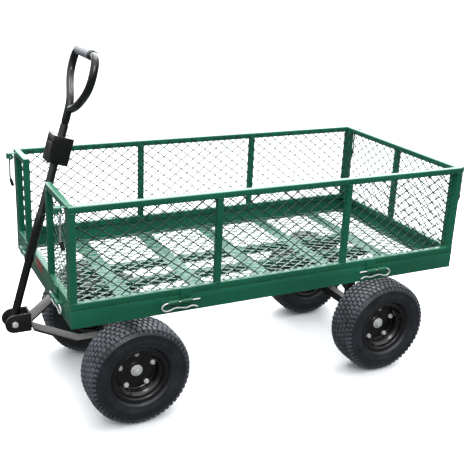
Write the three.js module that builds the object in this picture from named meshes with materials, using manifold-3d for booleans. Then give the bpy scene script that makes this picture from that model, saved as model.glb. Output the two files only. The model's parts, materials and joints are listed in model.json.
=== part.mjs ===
// Steel mesh garden cart: a shallow tray with a mesh deck, four fold-down mesh panels, a steered front
// axle, a pull handle with a hitch box, and four pneumatic wheels. Millimetres, +Z up, +X to the handle.
import * as THREE from 'three';
import * as BufferGeometryUtils from 'three/addons/utils/BufferGeometryUtils.js';
import Module from 'manifold-3d';

const wasm = await Module();
wasm.setup();

// ---- Driving dimensions ----
const fit = 0.3; // gap between pieces that touch
const runningGap = 0.5; // gap between pieces that turn on each other

const bedLength = 1344;
const bedWidth = 680;
const tyreToTray = 53; // clear height between the tyres and the tray
const trayWallHeight = 54;
const trayWall = 2.5;
const trayFlange = 25;
const crossBarCount = 5;
const crossBarPitch = 240;
const crossBarShift = -20;
const crossBarWidth = 55;
const crossBarThickness = 3;
const deckThickness = 1.2;
const chassisTube = 25;
const chassisHalfTrack = 70;
const chassisEndGap = 152;

const frameTube = 19;
const panelHeight = 300;
const panelSeat = 1.5;
const panelSideGap = 2; // between an end panel and the side panels
const meshThickness = 1.2;
const frontGapLeft = 85;
const frontGapRight = 185;

const hingeDrop = 17; // hinge line below the tray's rim
const hingeOut = 9.5; // hinge line outside the tray's wall
const sleeveRadius = 7;
const sleeveLength = 34;
const sleeveGap = 7;
const pinRadius = 2.4;
const pinBoreGap = 0.5;
const pinLoopRadius = 13;
const pinEndReach = 28;
const pinLegInset = 1; // the spring leg lies this far inboard of the hinge line
const sideHingePlace = 350;
const endHingePlace = 207;
const lugThickness = 3;
const lugGap = 0.8;

const latchOut = 18;
const latchBelowTop = 18;
const latchRingRadius = 9;
const latchRingLength = 18;
const latchShoulder = 3.5;
const latchRingGap = 1;
const latchRodRadius = 3;
const latchRodDrop = 78;
const latchTipLength = 27;
const latchTipRadius = 5;
const latchInset = 23;
const strapThickness = 3;
const strapRise = 7;

const tyreRadius = 165;
const tyreWidth = 120;
const beadRadius = 80;
const rimFlangeRadius = 92;
const rimHalfWidth = 47;
const rimWall = 3;
const rimWellRadius = 68;
const webThickness = 4;
const webOffset = 5; // the wheel's web sits this far outboard of its middle plane
const hubRadius = 26;
const hubLength = 56;
const bearingRadius = 14;
const axleRadius = 8;
const wheelBoltRadius = 56;
const wheelBoltHead = 7.5;
const wheelBoltCount = 5;
const wheelTrack = 500;
const frontOverhang = 222; // bed end to axle
const rearOverhang = 217;
const axleBeam = 30;
const washerRadius = 19;
const washerThickness = 2.5;
const axleNutRadius = 12.5;
const axleNutLength = 8;

const turntablePlate = 6;
const turntableRadius = 86;
const turntableLength = 140;
const kingPinRadius = 8;
const kingPinHead = 14;
const tongueRise = 97; // above the axles
const tongueThickness = 8;
const armWidth = 38;
const armTyreGap = 10;
const armBendSetback = 67; // behind the bed's front end
const armTipOut = 26;
const armFootLength = 74; // how far the arms run behind the king pin
const cheekThickness = 8;
const cheekFoot = 36;
const cheekHead = 110;

const handleStandOff = 94; // pivot ahead of the bed's front end
const clevisPivotRise = 11; // pivot above the tongue's top
const clevisHalfWidth = 30;
const clevisWall = 6;
const clevisEarRadius = 30;
const clevisLength = 51; // rear web to pivot
const clevisBoltRadius = 6;
const clevisBoltHead = 10;

const handleLean = 16.4; // degrees back from upright
const shaftRadius = 12.5;
const shaftLength = 640;
const collarRadius = 14.5;
const collarStart = 202;
const collarEnd = 358;
const crossEyeRadius = 17;
const hitchStart = 521;
const hitchHeight = 84;
const hitchDepth = 62;
const hitchWidth = 64;
const hitchWall = 4;
const hitchSlotHeight = 6;
const hitchSlotWidth = 44;
const hitchSlotBelowTop = 22;
const loopRadius = 12;
const loopTop = 860;
const loopLeft = 137;
const loopRight = 78;
const loopFork = 148; // below the loop's top, where the two legs meet
const gripRadius = 15.5;
const gripFrom = -52;
const gripTo = 96;
const gripInset = 9; // straight tube left bare at each end of the grip

// ---- Worked-out places ----
const frontAxlePlace = bedLength / 2 - frontOverhang;
const rearAxlePlace = rearOverhang - bedLength / 2;
const tongueTop = tyreRadius + tongueRise;
const clevisPivotReach = bedLength / 2 + handleStandOff;
const clevisPivotHeight = tongueTop + clevisPivotRise;
const clevisRear = clevisPivotReach - clevisLength;
const armHalfTrack = wheelTrack / 2 - tyreWidth / 2 - armTyreGap - armWidth / 2;
const armBend = bedLength / 2 - armBendSetback;
const trayBottom = tyreRadius * 2 + tyreToTray;
const trayTop = trayBottom + trayWallHeight;
const flangeTop = trayBottom + trayWall;
const crossBarBottom = flangeTop + fit;
const deckBottom = crossBarBottom + crossBarThickness + fit;
const panelBottom = trayTop + panelSeat;
const panelTop = panelBottom + panelHeight;
const hingeHeight = trayTop - hingeDrop;
const pinBore = pinRadius + pinBoreGap;
const endPanelHalf = bedWidth / 2 - frameTube - panelSideGap;
const latchHeight = panelTop - latchBelowTop;
const wheelPlane = wheelTrack / 2;
const chassisBottom = flangeTop - chassisTube;
const upperPlateTop = chassisBottom - fit;
const upperPlateBottom = upperPlateTop - turntablePlate;
const lowerPlateTop = upperPlateBottom - runningGap;
const lowerPlateBottom = lowerPlateTop - turntablePlate;
const cheekOuter = armHalfTrack - armWidth / 2 - fit;
const frameFront = clevisPivotReach + clevisEarRadius;
const frameRear = -(bedLength / 2 + latchOut + latchRingRadius + strapThickness);
const centreShift = -(frameFront + frameRear) / 2;

// ---- Materials ----
const greenPaint = new THREE.MeshStandardMaterial({ color: 0x1d5a44, roughness: 0.35, metalness: 0.2 });
const meshPaint = new THREE.MeshStandardMaterial({ color: 0x3f7463, roughness: 0.45, metalness: 0.2 });
const blackPaint = new THREE.MeshStandardMaterial({ color: 0x0c0c0d, roughness: 0.3, metalness: 0.3 });
const zinc = new THREE.MeshStandardMaterial({ color: 0xb9bdbe, roughness: 0.35, metalness: 0.9 });
const tyreRubber = new THREE.MeshStandardMaterial({ color: 0x1b1b1d, roughness: 0.85, metalness: 0 });
const gripFoam = new THREE.MeshStandardMaterial({ color: 0x26272a, roughness: 0.55, metalness: 0 });

// ---- Solid helpers ----
function solidOf(geometry) {
  const bare = geometry.index ? geometry.toNonIndexed() : geometry.clone();
  bare.deleteAttribute('normal');
  bare.deleteAttribute('uv');
  const merged = BufferGeometryUtils.mergeVertices(bare, 1e-4);
  return new wasm.Manifold(new wasm.Mesh({
    numProp: 3,
    vertProperties: new Float32Array(merged.attributes.position.array),
    triVerts: new Uint32Array(merged.index.array),
  }));
}

function geometryOf(solid) {
  const mesh = solid.getMesh();
  const geometry = new THREE.BufferGeometry();
  geometry.setAttribute('position', new THREE.BufferAttribute(mesh.vertProperties, 3));
  geometry.setIndex(new THREE.BufferAttribute(mesh.triVerts, 1));
  geometry.computeVertexNormals();
  return geometry;
}

function join(...geometries) {
  return geometryOf(geometries.map(solidOf).reduce((sum, solid) => sum.add(solid)));
}

function cut(geometry, ...tools) {
  return geometryOf(tools.map(solidOf).reduce((rest, tool) => rest.subtract(tool), solidOf(geometry)));
}

function block(xRange, yRange, zRange) {
  const [x0, x1] = xRange;
  const [y0, y1] = yRange;
  const [z0, z1] = zRange;
  const geometry = new THREE.BoxGeometry(x1 - x0, y1 - y0, z1 - z0);
  return geometry.translate((x0 + x1) / 2, (y0 + y1) / 2, (z0 + z1) / 2);
}

// A round bar or polygon bar from one point to another.
function bar(from, to, radius, sides = 16) {
  const start = new THREE.Vector3(...from);
  const end = new THREE.Vector3(...to);
  const along = end.clone().sub(start);
  const geometry = new THREE.CylinderGeometry(radius, radius, along.length(), sides);
  const turn = new THREE.Quaternion().setFromUnitVectors(new THREE.Vector3(0, 1, 0), along.clone().normalize());
  return geometry.applyQuaternion(turn).translate(...start.add(end).multiplyScalar(0.5).toArray());
}

function circleShape(radius, sides) {
  const shape = new THREE.Shape();
  for (let i = 0; i < sides; i += 1) {
    const angle = (i / sides) * Math.PI * 2;
    const point = [radius * Math.cos(angle), radius * Math.sin(angle)];
    if (i === 0) shape.moveTo(...point);
    else shape.lineTo(...point);
  }
  shape.closePath();
  return shape;
}

function wire(curve, radius, steps, sides = 8) {
  return new THREE.ExtrudeGeometry(circleShape(radius, sides), { steps, extrudePath: curve, bevelEnabled: false });
}

// An outline drawn in one plane, extruded along the third axis between two places.
function plate(points, plane, from, to) {
  const shape = new THREE.Shape(points.map(([a, b]) => new THREE.Vector2(a, b)));
  const geometry = new THREE.ExtrudeGeometry(shape, { depth: to - from, bevelEnabled: false, curveSegments: 10 });
  geometry.translate(0, 0, from);
  if (plane === 'xz') geometry.applyMatrix4(new THREE.Matrix4().makeBasis(
    new THREE.Vector3(1, 0, 0), new THREE.Vector3(0, 0, 1), new THREE.Vector3(0, -1, 0)));
  if (plane === 'yz') geometry.applyMatrix4(new THREE.Matrix4().makeBasis(
    new THREE.Vector3(0, 1, 0), new THREE.Vector3(0, 0, 1), new THREE.Vector3(1, 0, 0)));
  return geometry;
}

// A ring of revolution about the Y axis from [radius, y] points.
function turned(points, segments) {
  const profile = points.map(([radius, y]) => new THREE.Vector2(radius, y));
  profile.push(profile[0].clone());
  return new THREE.LatheGeometry(profile, segments);
}

function hexBar(from, to, radius) {
  return bar(from, to, radius, 6);
}

const cart = new THREE.Group();
cart.position.x = centreShift;

function part(name, geometry, material, parent = cart) {
  const mesh = new THREE.Mesh(geometry, material);
  mesh.name = name;
  parent.add(mesh);
  return mesh;
}

const sides = [['left', 1], ['right', -1]];
const ends = [['front', 1], ['rear', -1]];

// ---- Tray, deck and underframe ----
const hingeStations = [
  ...sides.flatMap(([side, ySign]) => ends.map(([end, xSign]) => (
    { name: `${side}_${end}`, along: 'x', place: xSign * sideHingePlace, away: ySign, turn: xSign }))),
  ...ends.flatMap(([end, xSign]) => sides.map(([side, ySign]) => (
    { name: `${end}_${side}`, along: 'y', place: ySign * endHingePlace, away: xSign, turn: ySign }))),
];

// Points on a hinge station: run along the hinge line, out from the tray's wall, and height.
function stationPoint(station, run, out, height) {
  const wallFace = (station.along === 'x' ? bedWidth : bedLength) / 2;
  const across = station.away * (wallFace + out);
  const lengthwise = station.place + station.turn * run;
  return station.along === 'x' ? [lengthwise, across, height] : [across, lengthwise, height];
}

function stationBlock(station, run, out, height) {
  const a = stationPoint(station, run[0], out[0], height[0]);
  const b = stationPoint(station, run[1], out[1], height[1]);
  const ranges = a.map((value, axis) => [Math.min(value, b[axis]), Math.max(value, b[axis])]);
  return block(...ranges);
}

function stationBar(station, run, radius) {
  return bar(
    stationPoint(station, run[0], hingeOut, hingeHeight),
    stationPoint(station, run[1], hingeOut, hingeHeight), radius, 10);
}

const traySleeveRun = [sleeveGap / 2, sleeveGap / 2 + sleeveLength];
const panelSleeveRun = [-sleeveGap / 2 - sleeveLength, -sleeveGap / 2];
const pinRun = [-sleeveGap / 2 - sleeveLength - pinEndReach, sleeveGap / 2 + sleeveLength + fit * 4];

function trayBody() {
  const halfLength = bedLength / 2;
  const halfWidth = bedWidth / 2;
  const outer = block([-halfLength, halfLength], [-halfWidth, halfWidth], [trayBottom, trayTop]);
  const inside = block(
    [-halfLength + trayWall, halfLength - trayWall],
    [-halfWidth + trayWall, halfWidth - trayWall], [flangeTop, trayTop + 1]);
  const floorHole = block(
    [-halfLength + trayFlange, halfLength - trayFlange],
    [-halfWidth + trayFlange, halfWidth - trayFlange], [trayBottom - 1, flangeTop + 1]);
  let solid = solidOf(outer).subtract(solidOf(inside)).subtract(solidOf(floorHole));
  for (const station of hingeStations) {
    const web = stationBlock(station, traySleeveRun, [-trayWall / 2, hingeOut],
      [hingeHeight - pinRadius, hingeHeight + pinRadius]);
    solid = solid.add(solidOf(web)).add(solidOf(stationBar(station, traySleeveRun, sleeveRadius)));
  }
  for (const station of hingeStations) {
    solid = solid.subtract(solidOf(stationBar(station, [traySleeveRun[0] - 1, traySleeveRun[1] + 1], pinBore)));
  }
  return geometryOf(solid);
}

function buildTray() {
  part('tray', trayBody(), greenPaint);
  const barHalf = bedWidth / 2 - trayWall - fit;
  for (let i = 0; i < crossBarCount; i += 1) {
    const x = crossBarShift + (i - (crossBarCount - 1) / 2) * crossBarPitch;
    const geometry = block([x - crossBarWidth / 2, x + crossBarWidth / 2], [-barHalf, barHalf],
      [crossBarBottom, crossBarBottom + crossBarThickness]);
    part(`cross_bar_${i + 1}`, geometry, greenPaint);
  }
  const deckHalfLength = bedLength / 2 - trayWall - fit;
  part('deck_mesh', block([-deckHalfLength, deckHalfLength], [-barHalf, barHalf],
    [deckBottom, deckBottom + deckThickness]), meshPaint);
  const chassisHalf = bedLength / 2 - chassisEndGap;
  for (const [side, sign] of sides) {
    const y = sign * chassisHalfTrack;
    const tube = block([-chassisHalf, chassisHalf], [y - chassisTube / 2, y + chassisTube / 2],
      [chassisBottom, flangeTop]);
    const bore = block([-chassisHalf - 1, chassisHalf + 1],
      [y - chassisTube / 2 + trayWall, y + chassisTube / 2 - trayWall],
      [chassisBottom + trayWall, flangeTop - trayWall]);
    part(`chassis_rail_${side}`, cut(tube, bore), greenPaint);
  }
}

// ---- Hinge pins: a hairpin with a straight leg through both sleeves and a wavy spring leg below ----
function buildHingePins() {
  for (const station of hingeStations) {
    const [start, end] = pinRun;
    const line = [
      [start, 0], [start / 2, 0], [end / 2, 0], [end, 0],
      [end + pinLoopRadius, -0.35], [end + pinLoopRadius * 1.45, -1], [end + pinLoopRadius, -1.75],
      [end - 3, -2], [end * 0.45, -1.45], [0, -1.5], [start * 0.35, -1.8], [start * 0.6, -1.4],
      [start * 0.9, -1.95],
    ];
    const places = line.map(([run, drop]) => {
      const out = hingeOut - (drop < 0 ? pinLegInset : 0);
      return new THREE.Vector3(...stationPoint(station, run, out, hingeHeight + drop * pinLoopRadius));
    });
    const curve = new THREE.CatmullRomCurve3(places, false, 'centripetal');
    part(`hinge_pin_${station.name}`, wire(curve, pinRadius, 28, 6), zinc);
  }
}

// ---- Panels ----
function lugPieces(station) {
  const lug = stationBlock(station, panelSleeveRun, [lugGap, lugGap + lugThickness],
    [hingeHeight, panelBottom + frameTube]);
  const foot = stationBlock(station, panelSleeveRun, [-frameTube / 2, lugGap + lugThickness],
    [panelBottom + frameTube / 3, panelBottom + frameTube * 0.7]);
  const web = stationBlock(station, panelSleeveRun, [lugGap, hingeOut],
    [hingeHeight - pinRadius, hingeHeight + pinRadius]);
  return [lug, foot, web, stationBar(station, panelSleeveRun, sleeveRadius)];
}

function withLugs(solid, stations) {
  let result = solid;
  for (const station of stations) {
    for (const piece of lugPieces(station)) result = result.add(solidOf(piece));
  }
  for (const station of stations) {
    const bore = stationBar(station, [panelSleeveRun[0] - 1, panelSleeveRun[1] + 1], pinBore);
    result = result.subtract(solidOf(bore));
  }
  return result;
}

function railAndPosts(spans, postPlaces, toBlock) {
  const pieces = [];
  for (const [from, to] of spans) pieces.push(toBlock([from, to], [panelTop - frameTube, panelTop]));
  pieces.push(toBlock([spans[0][0], spans[spans.length - 1][1]], [panelBottom, panelBottom + frameTube]));
  for (const place of postPlaces) {
    pieces.push(toBlock([place - frameTube / 2, place + frameTube / 2], [panelBottom, panelTop]));
  }
  return pieces.map(solidOf).reduce((sum, solid) => sum.add(solid));
}

// The ring and hooked strap that hold a latch rod at the top corner of an end panel.
function latchPieces(xSign, ySign) {
  const face = bedLength / 2;
  const ringX = xSign * (face + latchOut);
  const outerY = ySign * (endPanelHalf - latchInset + latchRingLength);
  const innerY = ySign * (endPanelHalf - latchInset);
  const reach = face + latchOut + latchRingRadius + strapThickness;
  const strapTop = latchHeight + latchRingRadius + strapThickness;
  const outline = [
    [xSign * (face - frameTube / 2), strapTop],
    [xSign * reach, strapTop],
    [xSign * reach, latchHeight - strapRise],
    [xSign * (reach - strapThickness), latchHeight - strapRise],
    [xSign * (reach - strapThickness), strapTop - strapThickness],
    [xSign * (face - frameTube / 2), strapTop - strapThickness],
  ];
  const strap = plate(xSign > 0 ? outline.reverse() : outline, 'xz', -Math.max(outerY, innerY),
    -Math.min(outerY, innerY));
  const ring = bar([ringX, innerY, latchHeight], [ringX, outerY, latchHeight], latchRingRadius + 0.5, 12);
  const bore = bar([ringX, innerY - ySign, latchHeight], [ringX, outerY + ySign, latchHeight],
    latchRodRadius + latchRingGap, 8);
  return { adds: [strap, ring], bore };
}

function endFrame(xSign, spans, posts) {
  const outer = xSign * bedLength / 2;
  const inner = xSign * (bedLength / 2 - frameTube);
  const xRange = [Math.min(outer, inner), Math.max(outer, inner)];
  let solid = railAndPosts(spans, posts, (run, height) => block(xRange, run, height));
  for (const [, ySign] of sides) {
    const latch = latchPieces(xSign, ySign);
    for (const piece of latch.adds) solid = solid.add(solidOf(piece));
    solid = solid.subtract(solidOf(latch.bore));
  }
  return withLugs(solid, hingeStations.filter((station) => station.along === 'y' && station.away === xSign));
}

function buildPanels() {
  const halfLength = bedLength / 2;
  const halfTube = frameTube / 2;
  for (const [side, ySign] of sides) {
    const outer = ySign * bedWidth / 2;
    const inner = ySign * (bedWidth / 2 - frameTube);
    const yRange = [Math.min(outer, inner), Math.max(outer, inner)];
    const posts = [-halfLength + halfTube, -bedLength / 6, bedLength / 6, halfLength - halfTube];
    const frame = railAndPosts([[-halfLength, halfLength]], posts, (run, height) => block(run, yRange, height));
    const stations = hingeStations.filter((station) => station.along === 'x' && station.away === ySign);
    part(`${side}_panel_frame`, geometryOf(withLugs(frame, stations)), greenPaint);
    const near = ySign * (bedWidth / 2 - frameTube - fit);
    const far = near - ySign * meshThickness;
    const meshHalf = halfLength - frameTube - fit * 2 - meshThickness - 1;
    part(`${side}_panel_mesh`, block([-meshHalf, meshHalf], [Math.min(near, far), Math.max(near, far)],
      [panelBottom + 3, panelTop - 3]), meshPaint);
  }
  const frontSpans = [[-endPanelHalf, -frontGapRight], [frontGapLeft, endPanelHalf]];
  const frontPosts = [-endPanelHalf + halfTube, -frontGapRight - halfTube, frontGapLeft + halfTube,
    endPanelHalf - halfTube];
  part('front_panel_frame', geometryOf(endFrame(1, frontSpans, frontPosts)), greenPaint);
  const rearPosts = [-endPanelHalf + halfTube, 0, endPanelHalf - halfTube];
  part('rear_panel_frame', geometryOf(endFrame(-1, [[-endPanelHalf, endPanelHalf]], rearPosts)), greenPaint);
  const meshEnd = endPanelHalf - meshThickness * 2;
  const endMeshes = [
    ['front_panel_mesh_left', 1, frontGapLeft + 3, meshEnd],
    ['front_panel_mesh_right', 1, -meshEnd, -frontGapRight - 3],
    ['rear_panel_mesh', -1, -meshEnd, meshEnd],
  ];
  for (const [name, xSign, from, to] of endMeshes) {
    const near = xSign * (halfLength - frameTube - fit);
    const far = near - xSign * meshThickness;
    part(name, block([Math.min(near, far), Math.max(near, far)], [from, to],
      [panelBottom + 3, panelTop - 3]), meshPaint);
  }
}

// ---- Latch rods: a pin through the ring, a hanging leg and a vinyl-dipped tip ----
function buildLatches() {
  for (const [end, xSign] of ends) {
    for (const [side, ySign] of sides) {
      const x = xSign * (bedLength / 2 + latchOut);
      const ringEnd = ySign * (endPanelHalf - latchInset + latchRingLength);
      const legY = ringEnd + ySign * (latchRodRadius + latchShoulder);
      const startY = ySign * (endPanelHalf - latchInset - 4);
      const bend = latchHeight - latchRodDrop;
      const bendIn = xSign * 8;
      const curve = new THREE.CatmullRomCurve3([
        new THREE.Vector3(x, startY, latchHeight),
        new THREE.Vector3(x, ringEnd, latchHeight),
        new THREE.Vector3(x, legY - ySign * 1.2, latchHeight - 1.8),
        new THREE.Vector3(x, legY, latchHeight - 7),
        new THREE.Vector3(x, legY, latchHeight - latchRodDrop / 2),
        new THREE.Vector3(x, legY, bend),
        new THREE.Vector3(x - bendIn / 2, legY, bend - latchTipLength / 2),
      ], false, 'centripetal');
      const tip = bar([x - bendIn * 0.15, legY, bend - 3], [x - bendIn, legY, bend - latchTipLength],
        latchTipRadius, 8);
      part(`latch_rod_${end}_${side}`, join(wire(curve, latchRodRadius, 12, 6), tip), zinc);
    }
  }
}

// ---- Wheels ----
function tyreGeometry() {
  const half = tyreWidth / 2;
  const outside = [
    [beadRadius + fit, -rimHalfWidth + 5], [rimFlangeRadius, -rimHalfWidth + 1.5],
    [tyreRadius - 38, -half], [tyreRadius - 12, -half + 6], [tyreRadius, -half + 30],
    [tyreRadius, half - 30], [tyreRadius - 12, half - 6], [tyreRadius - 38, half],
    [rimFlangeRadius, rimHalfWidth - 1.5], [beadRadius + fit, rimHalfWidth - 5],
  ];
  const inside = [
    [beadRadius + fit, rimHalfWidth - 15], [tyreRadius - 38, half - 12],
    [tyreRadius - 12, 0], [tyreRadius - 38, -half + 12], [beadRadius + fit, -rimHalfWidth + 15],
  ];
  return turned([...outside, ...inside], 28);
}

// The bolted steel rim, with its hub tube running inboard; outboard is towards sign along Y.
function rimGeometry(sign) {
  const bead = beadRadius - rimWall;
  const hubBore = bearingRadius + fit;
  const profile = [
    [beadRadius, -rimHalfWidth + 3], [rimWellRadius + rimWall, 0], [beadRadius, rimHalfWidth - 3],
    [rimFlangeRadius, rimHalfWidth], [rimFlangeRadius - 2, rimHalfWidth + rimWall],
    [bead, rimHalfWidth], [rimWellRadius, webOffset], [hubBore, webOffset], [hubBore, webOffset - hubLength],
    [hubRadius, webOffset - hubLength], [hubRadius, webOffset - webThickness],
    [rimWellRadius, webOffset - webThickness], [bead, -rimHalfWidth],
    [rimFlangeRadius - 2, -rimHalfWidth - rimWall], [rimFlangeRadius, -rimHalfWidth],
  ];
  let solid = solidOf(turned(profile, 24));
  for (let i = 0; i < wheelBoltCount; i += 1) {
    const angle = (i / wheelBoltCount) * Math.PI * 2 + Math.PI / 2;
    const x = wheelBoltRadius * Math.cos(angle);
    const z = wheelBoltRadius * Math.sin(angle);
    solid = solid.add(solidOf(hexBar([x, webOffset - 1, z], [x, webOffset + 5, z], wheelBoltHead)));
  }
  const geometry = geometryOf(solid);
  return sign > 0 ? geometry : geometry.rotateZ(Math.PI);
}

function buildWheels() {
  const tyre = tyreGeometry();
  for (const [end, axlePlace] of [['front', frontAxlePlace], ['rear', rearAxlePlace]]) {
    for (const [side, sign] of sides) {
      const place = [axlePlace, sign * wheelPlane, tyreRadius];
      const name = `${end}_${side}`;
      part(`tyre_${name}`, tyre.clone(), tyreRubber).position.set(...place);
      part(`rim_${name}`, rimGeometry(sign), blackPaint).position.set(...place);
      const bearingStart = sign * (webOffset - fit);
      const bearingEnd = sign * (webOffset - hubLength + fit);
      const bearing = cut(
        bar([0, bearingStart, 0], [0, bearingEnd, 0], bearingRadius, 16),
        bar([0, bearingStart + sign, 0], [0, bearingEnd - sign, 0], axleRadius + fit * 2, 12));
      part(`wheel_bearing_${name}`, bearing, zinc).position.set(...place);
      const washerStart = webOffset + runningGap;
      const washerEnd = washerStart + washerThickness;
      const nut = cut(
        join(bar([0, sign * washerStart, 0], [0, sign * washerEnd, 0], washerRadius, 16),
          hexBar([0, sign * (washerEnd - 0.5), 0], [0, sign * (washerEnd + axleNutLength), 0], axleNutRadius)),
        bar([0, sign * (washerStart - 1), 0], [0, sign * (washerEnd + axleNutLength + 1), 0],
          axleRadius + fit * 2, 12));
      part(`axle_nut_${name}`, nut, zinc).position.set(...place);
    }
  }
}

// ---- Axles, turntable and tongue ----
const beamHalf = wheelPlane + webOffset - hubLength - 2;
const rodHalf = wheelPlane + webOffset + runningGap + washerThickness + axleNutLength + 1.5;

function axleBeamSolid(x) {
  const half = axleBeam / 2;
  return solidOf(block([x - half, x + half], [-beamHalf, beamHalf], [tyreRadius - half, tyreRadius + half]));
}

function withAxleBore(solid, x) {
  const bore = bar([x, -beamHalf - 1, tyreRadius], [x, beamHalf + 1, tyreRadius], axleRadius + fit * 2, 12);
  return geometryOf(solid.subtract(solidOf(bore)));
}

// The outline of a flat bar of one width that follows a bent centre line.
function barOutline(points, width) {
  const centre = points.map(([a, b]) => new THREE.Vector2(a, b));
  const left = [];
  const right = [];
  centre.forEach((point, i) => {
    const before = point.clone().sub(centre[Math.max(i - 1, 0)]);
    const after = centre[Math.min(i + 1, centre.length - 1)].clone().sub(point);
    const into = (before.length() > 0 ? before : after).clone().normalize();
    const out = (after.length() > 0 ? after : before).clone().normalize();
    const mitre = new THREE.Vector2(-into.y - out.y, into.x + out.x).normalize();
    const reach = width / 2 / mitre.dot(new THREE.Vector2(-into.y, into.x));
    left.push([point.x + mitre.x * reach, point.y + mitre.y * reach]);
    right.unshift([point.x - mitre.x * reach, point.y - mitre.y * reach]);
  });
  return [...left, ...right];
}

function buildRearAxle() {
  const footTop = chassisBottom - fit;
  const xFrom = rearAxlePlace - axleBeam / 2;
  const xTo = rearAxlePlace + axleBeam / 2;
  const beamTop = tyreRadius + axleBeam / 2;
  const braceRise = 52;
  let solid = axleBeamSolid(rearAxlePlace);
  const brace = barOutline([
    [-beamHalf + 12, beamTop], [-20, beamTop + braceRise], [20, beamTop + braceRise], [beamHalf - 12, beamTop],
  ], 16);
  solid = solid.add(solidOf(plate(brace, 'yz', rearAxlePlace - 10, rearAxlePlace + 10)));
  for (const [, sign] of sides) {
    const y = sign * chassisHalfTrack;
    const post = block([xFrom, xTo], [y - chassisTube / 2, y + chassisTube / 2], [beamTop - 1, footTop]);
    const foot = block([xFrom - 30, xTo + 30], [y - chassisTube / 2, y + chassisTube / 2],
      [footTop - 6, footTop]);
    solid = solid.add(solidOf(post)).add(solidOf(foot));
  }
  part('rear_axle_beam', withAxleBore(solid, rearAxlePlace), blackPaint);
  part('rear_axle_rod', bar([rearAxlePlace, -rodHalf, tyreRadius], [rearAxlePlace, rodHalf, tyreRadius],
    axleRadius, 12), zinc);
}

function buildTurntable() {
  const hole = bar([frontAxlePlace, 0, lowerPlateBottom - 1], [frontAxlePlace, 0, upperPlateTop + 1],
    kingPinRadius + runningGap, 16);
  const upper = bar([frontAxlePlace, 0, upperPlateBottom], [frontAxlePlace, 0, upperPlateTop],
    turntableRadius, 36);
  part('turntable_upper', cut(upper, hole), blackPaint);
  const lower = block([frontAxlePlace - turntableLength / 2, frontAxlePlace + turntableLength / 2],
    [-cheekOuter, cheekOuter], [lowerPlateBottom, lowerPlateTop]);
  part('turntable_lower', cut(lower, hole), blackPaint);
  const nutTop = lowerPlateBottom - runningGap;
  const headBottom = upperPlateTop + fit;
  part('king_pin', join(
    bar([frontAxlePlace, 0, nutTop - 15], [frontAxlePlace, 0, headBottom + 5], kingPinRadius, 16),
    hexBar([frontAxlePlace, 0, nutTop - 12], [frontAxlePlace, 0, nutTop], kingPinHead),
    hexBar([frontAxlePlace, 0, headBottom], [frontAxlePlace, 0, headBottom + 9], kingPinHead)), zinc);
}

function buildFrontAxle() {
  const beamTop = tyreRadius + axleBeam / 2;
  const headTop = lowerPlateBottom - fit;
  let solid = axleBeamSolid(frontAxlePlace);
  for (const [, sign] of sides) {
    const cheek = plate([
      [frontAxlePlace - cheekFoot / 2, beamTop - 1], [frontAxlePlace + cheekFoot / 2, beamTop - 1],
      [frontAxlePlace + cheekHead / 2, headTop], [frontAxlePlace - cheekHead / 2, headTop],
    ], 'xz', Math.min(-sign * cheekOuter, -sign * (cheekOuter - cheekThickness)),
    Math.max(-sign * cheekOuter, -sign * (cheekOuter - cheekThickness)));
    const shelf = block([frontAxlePlace - cheekHead / 2, frontAxlePlace + cheekHead / 2],
      [Math.min(sign * cheekOuter, sign * (cheekOuter - 32)), Math.max(sign * cheekOuter, sign * (cheekOuter - 32))],
      [headTop - 6, headTop]);
    solid = solid.add(solidOf(cheek)).add(solidOf(shelf));
  }
  part('front_axle_beam', withAxleBore(solid, frontAxlePlace), blackPaint);
  part('front_axle_rod', bar([frontAxlePlace, -rodHalf, tyreRadius], [frontAxlePlace, rodHalf, tyreRadius],
    axleRadius, 12), zinc);
  const tongueBottom = tongueTop - tongueThickness;
  const tip = clevisRear - fit;
  let tongue = solidOf(block([tip - 9, tip], [-clevisHalfWidth, clevisHalfWidth], [tongueBottom, tongueTop]));
  for (const [, sign] of sides) {
    const line = [
      [frontAxlePlace - armFootLength, sign * armHalfTrack], [armBend, sign * armHalfTrack],
      [tip + 10, sign * (armTipOut - 12)],
    ];
    const outline = barOutline(line, armWidth);
    tongue = tongue.add(solidOf(plate(sign > 0 ? outline : outline.reverse(), 'xy', tongueBottom, tongueTop)));
  }
  const beyond = block([tip, tip + 80], [-armHalfTrack, armHalfTrack], [tongueBottom - 1, tongueTop + 1]);
  part('tongue', geometryOf(tongue.subtract(solidOf(beyond))), blackPaint);
}

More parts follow.
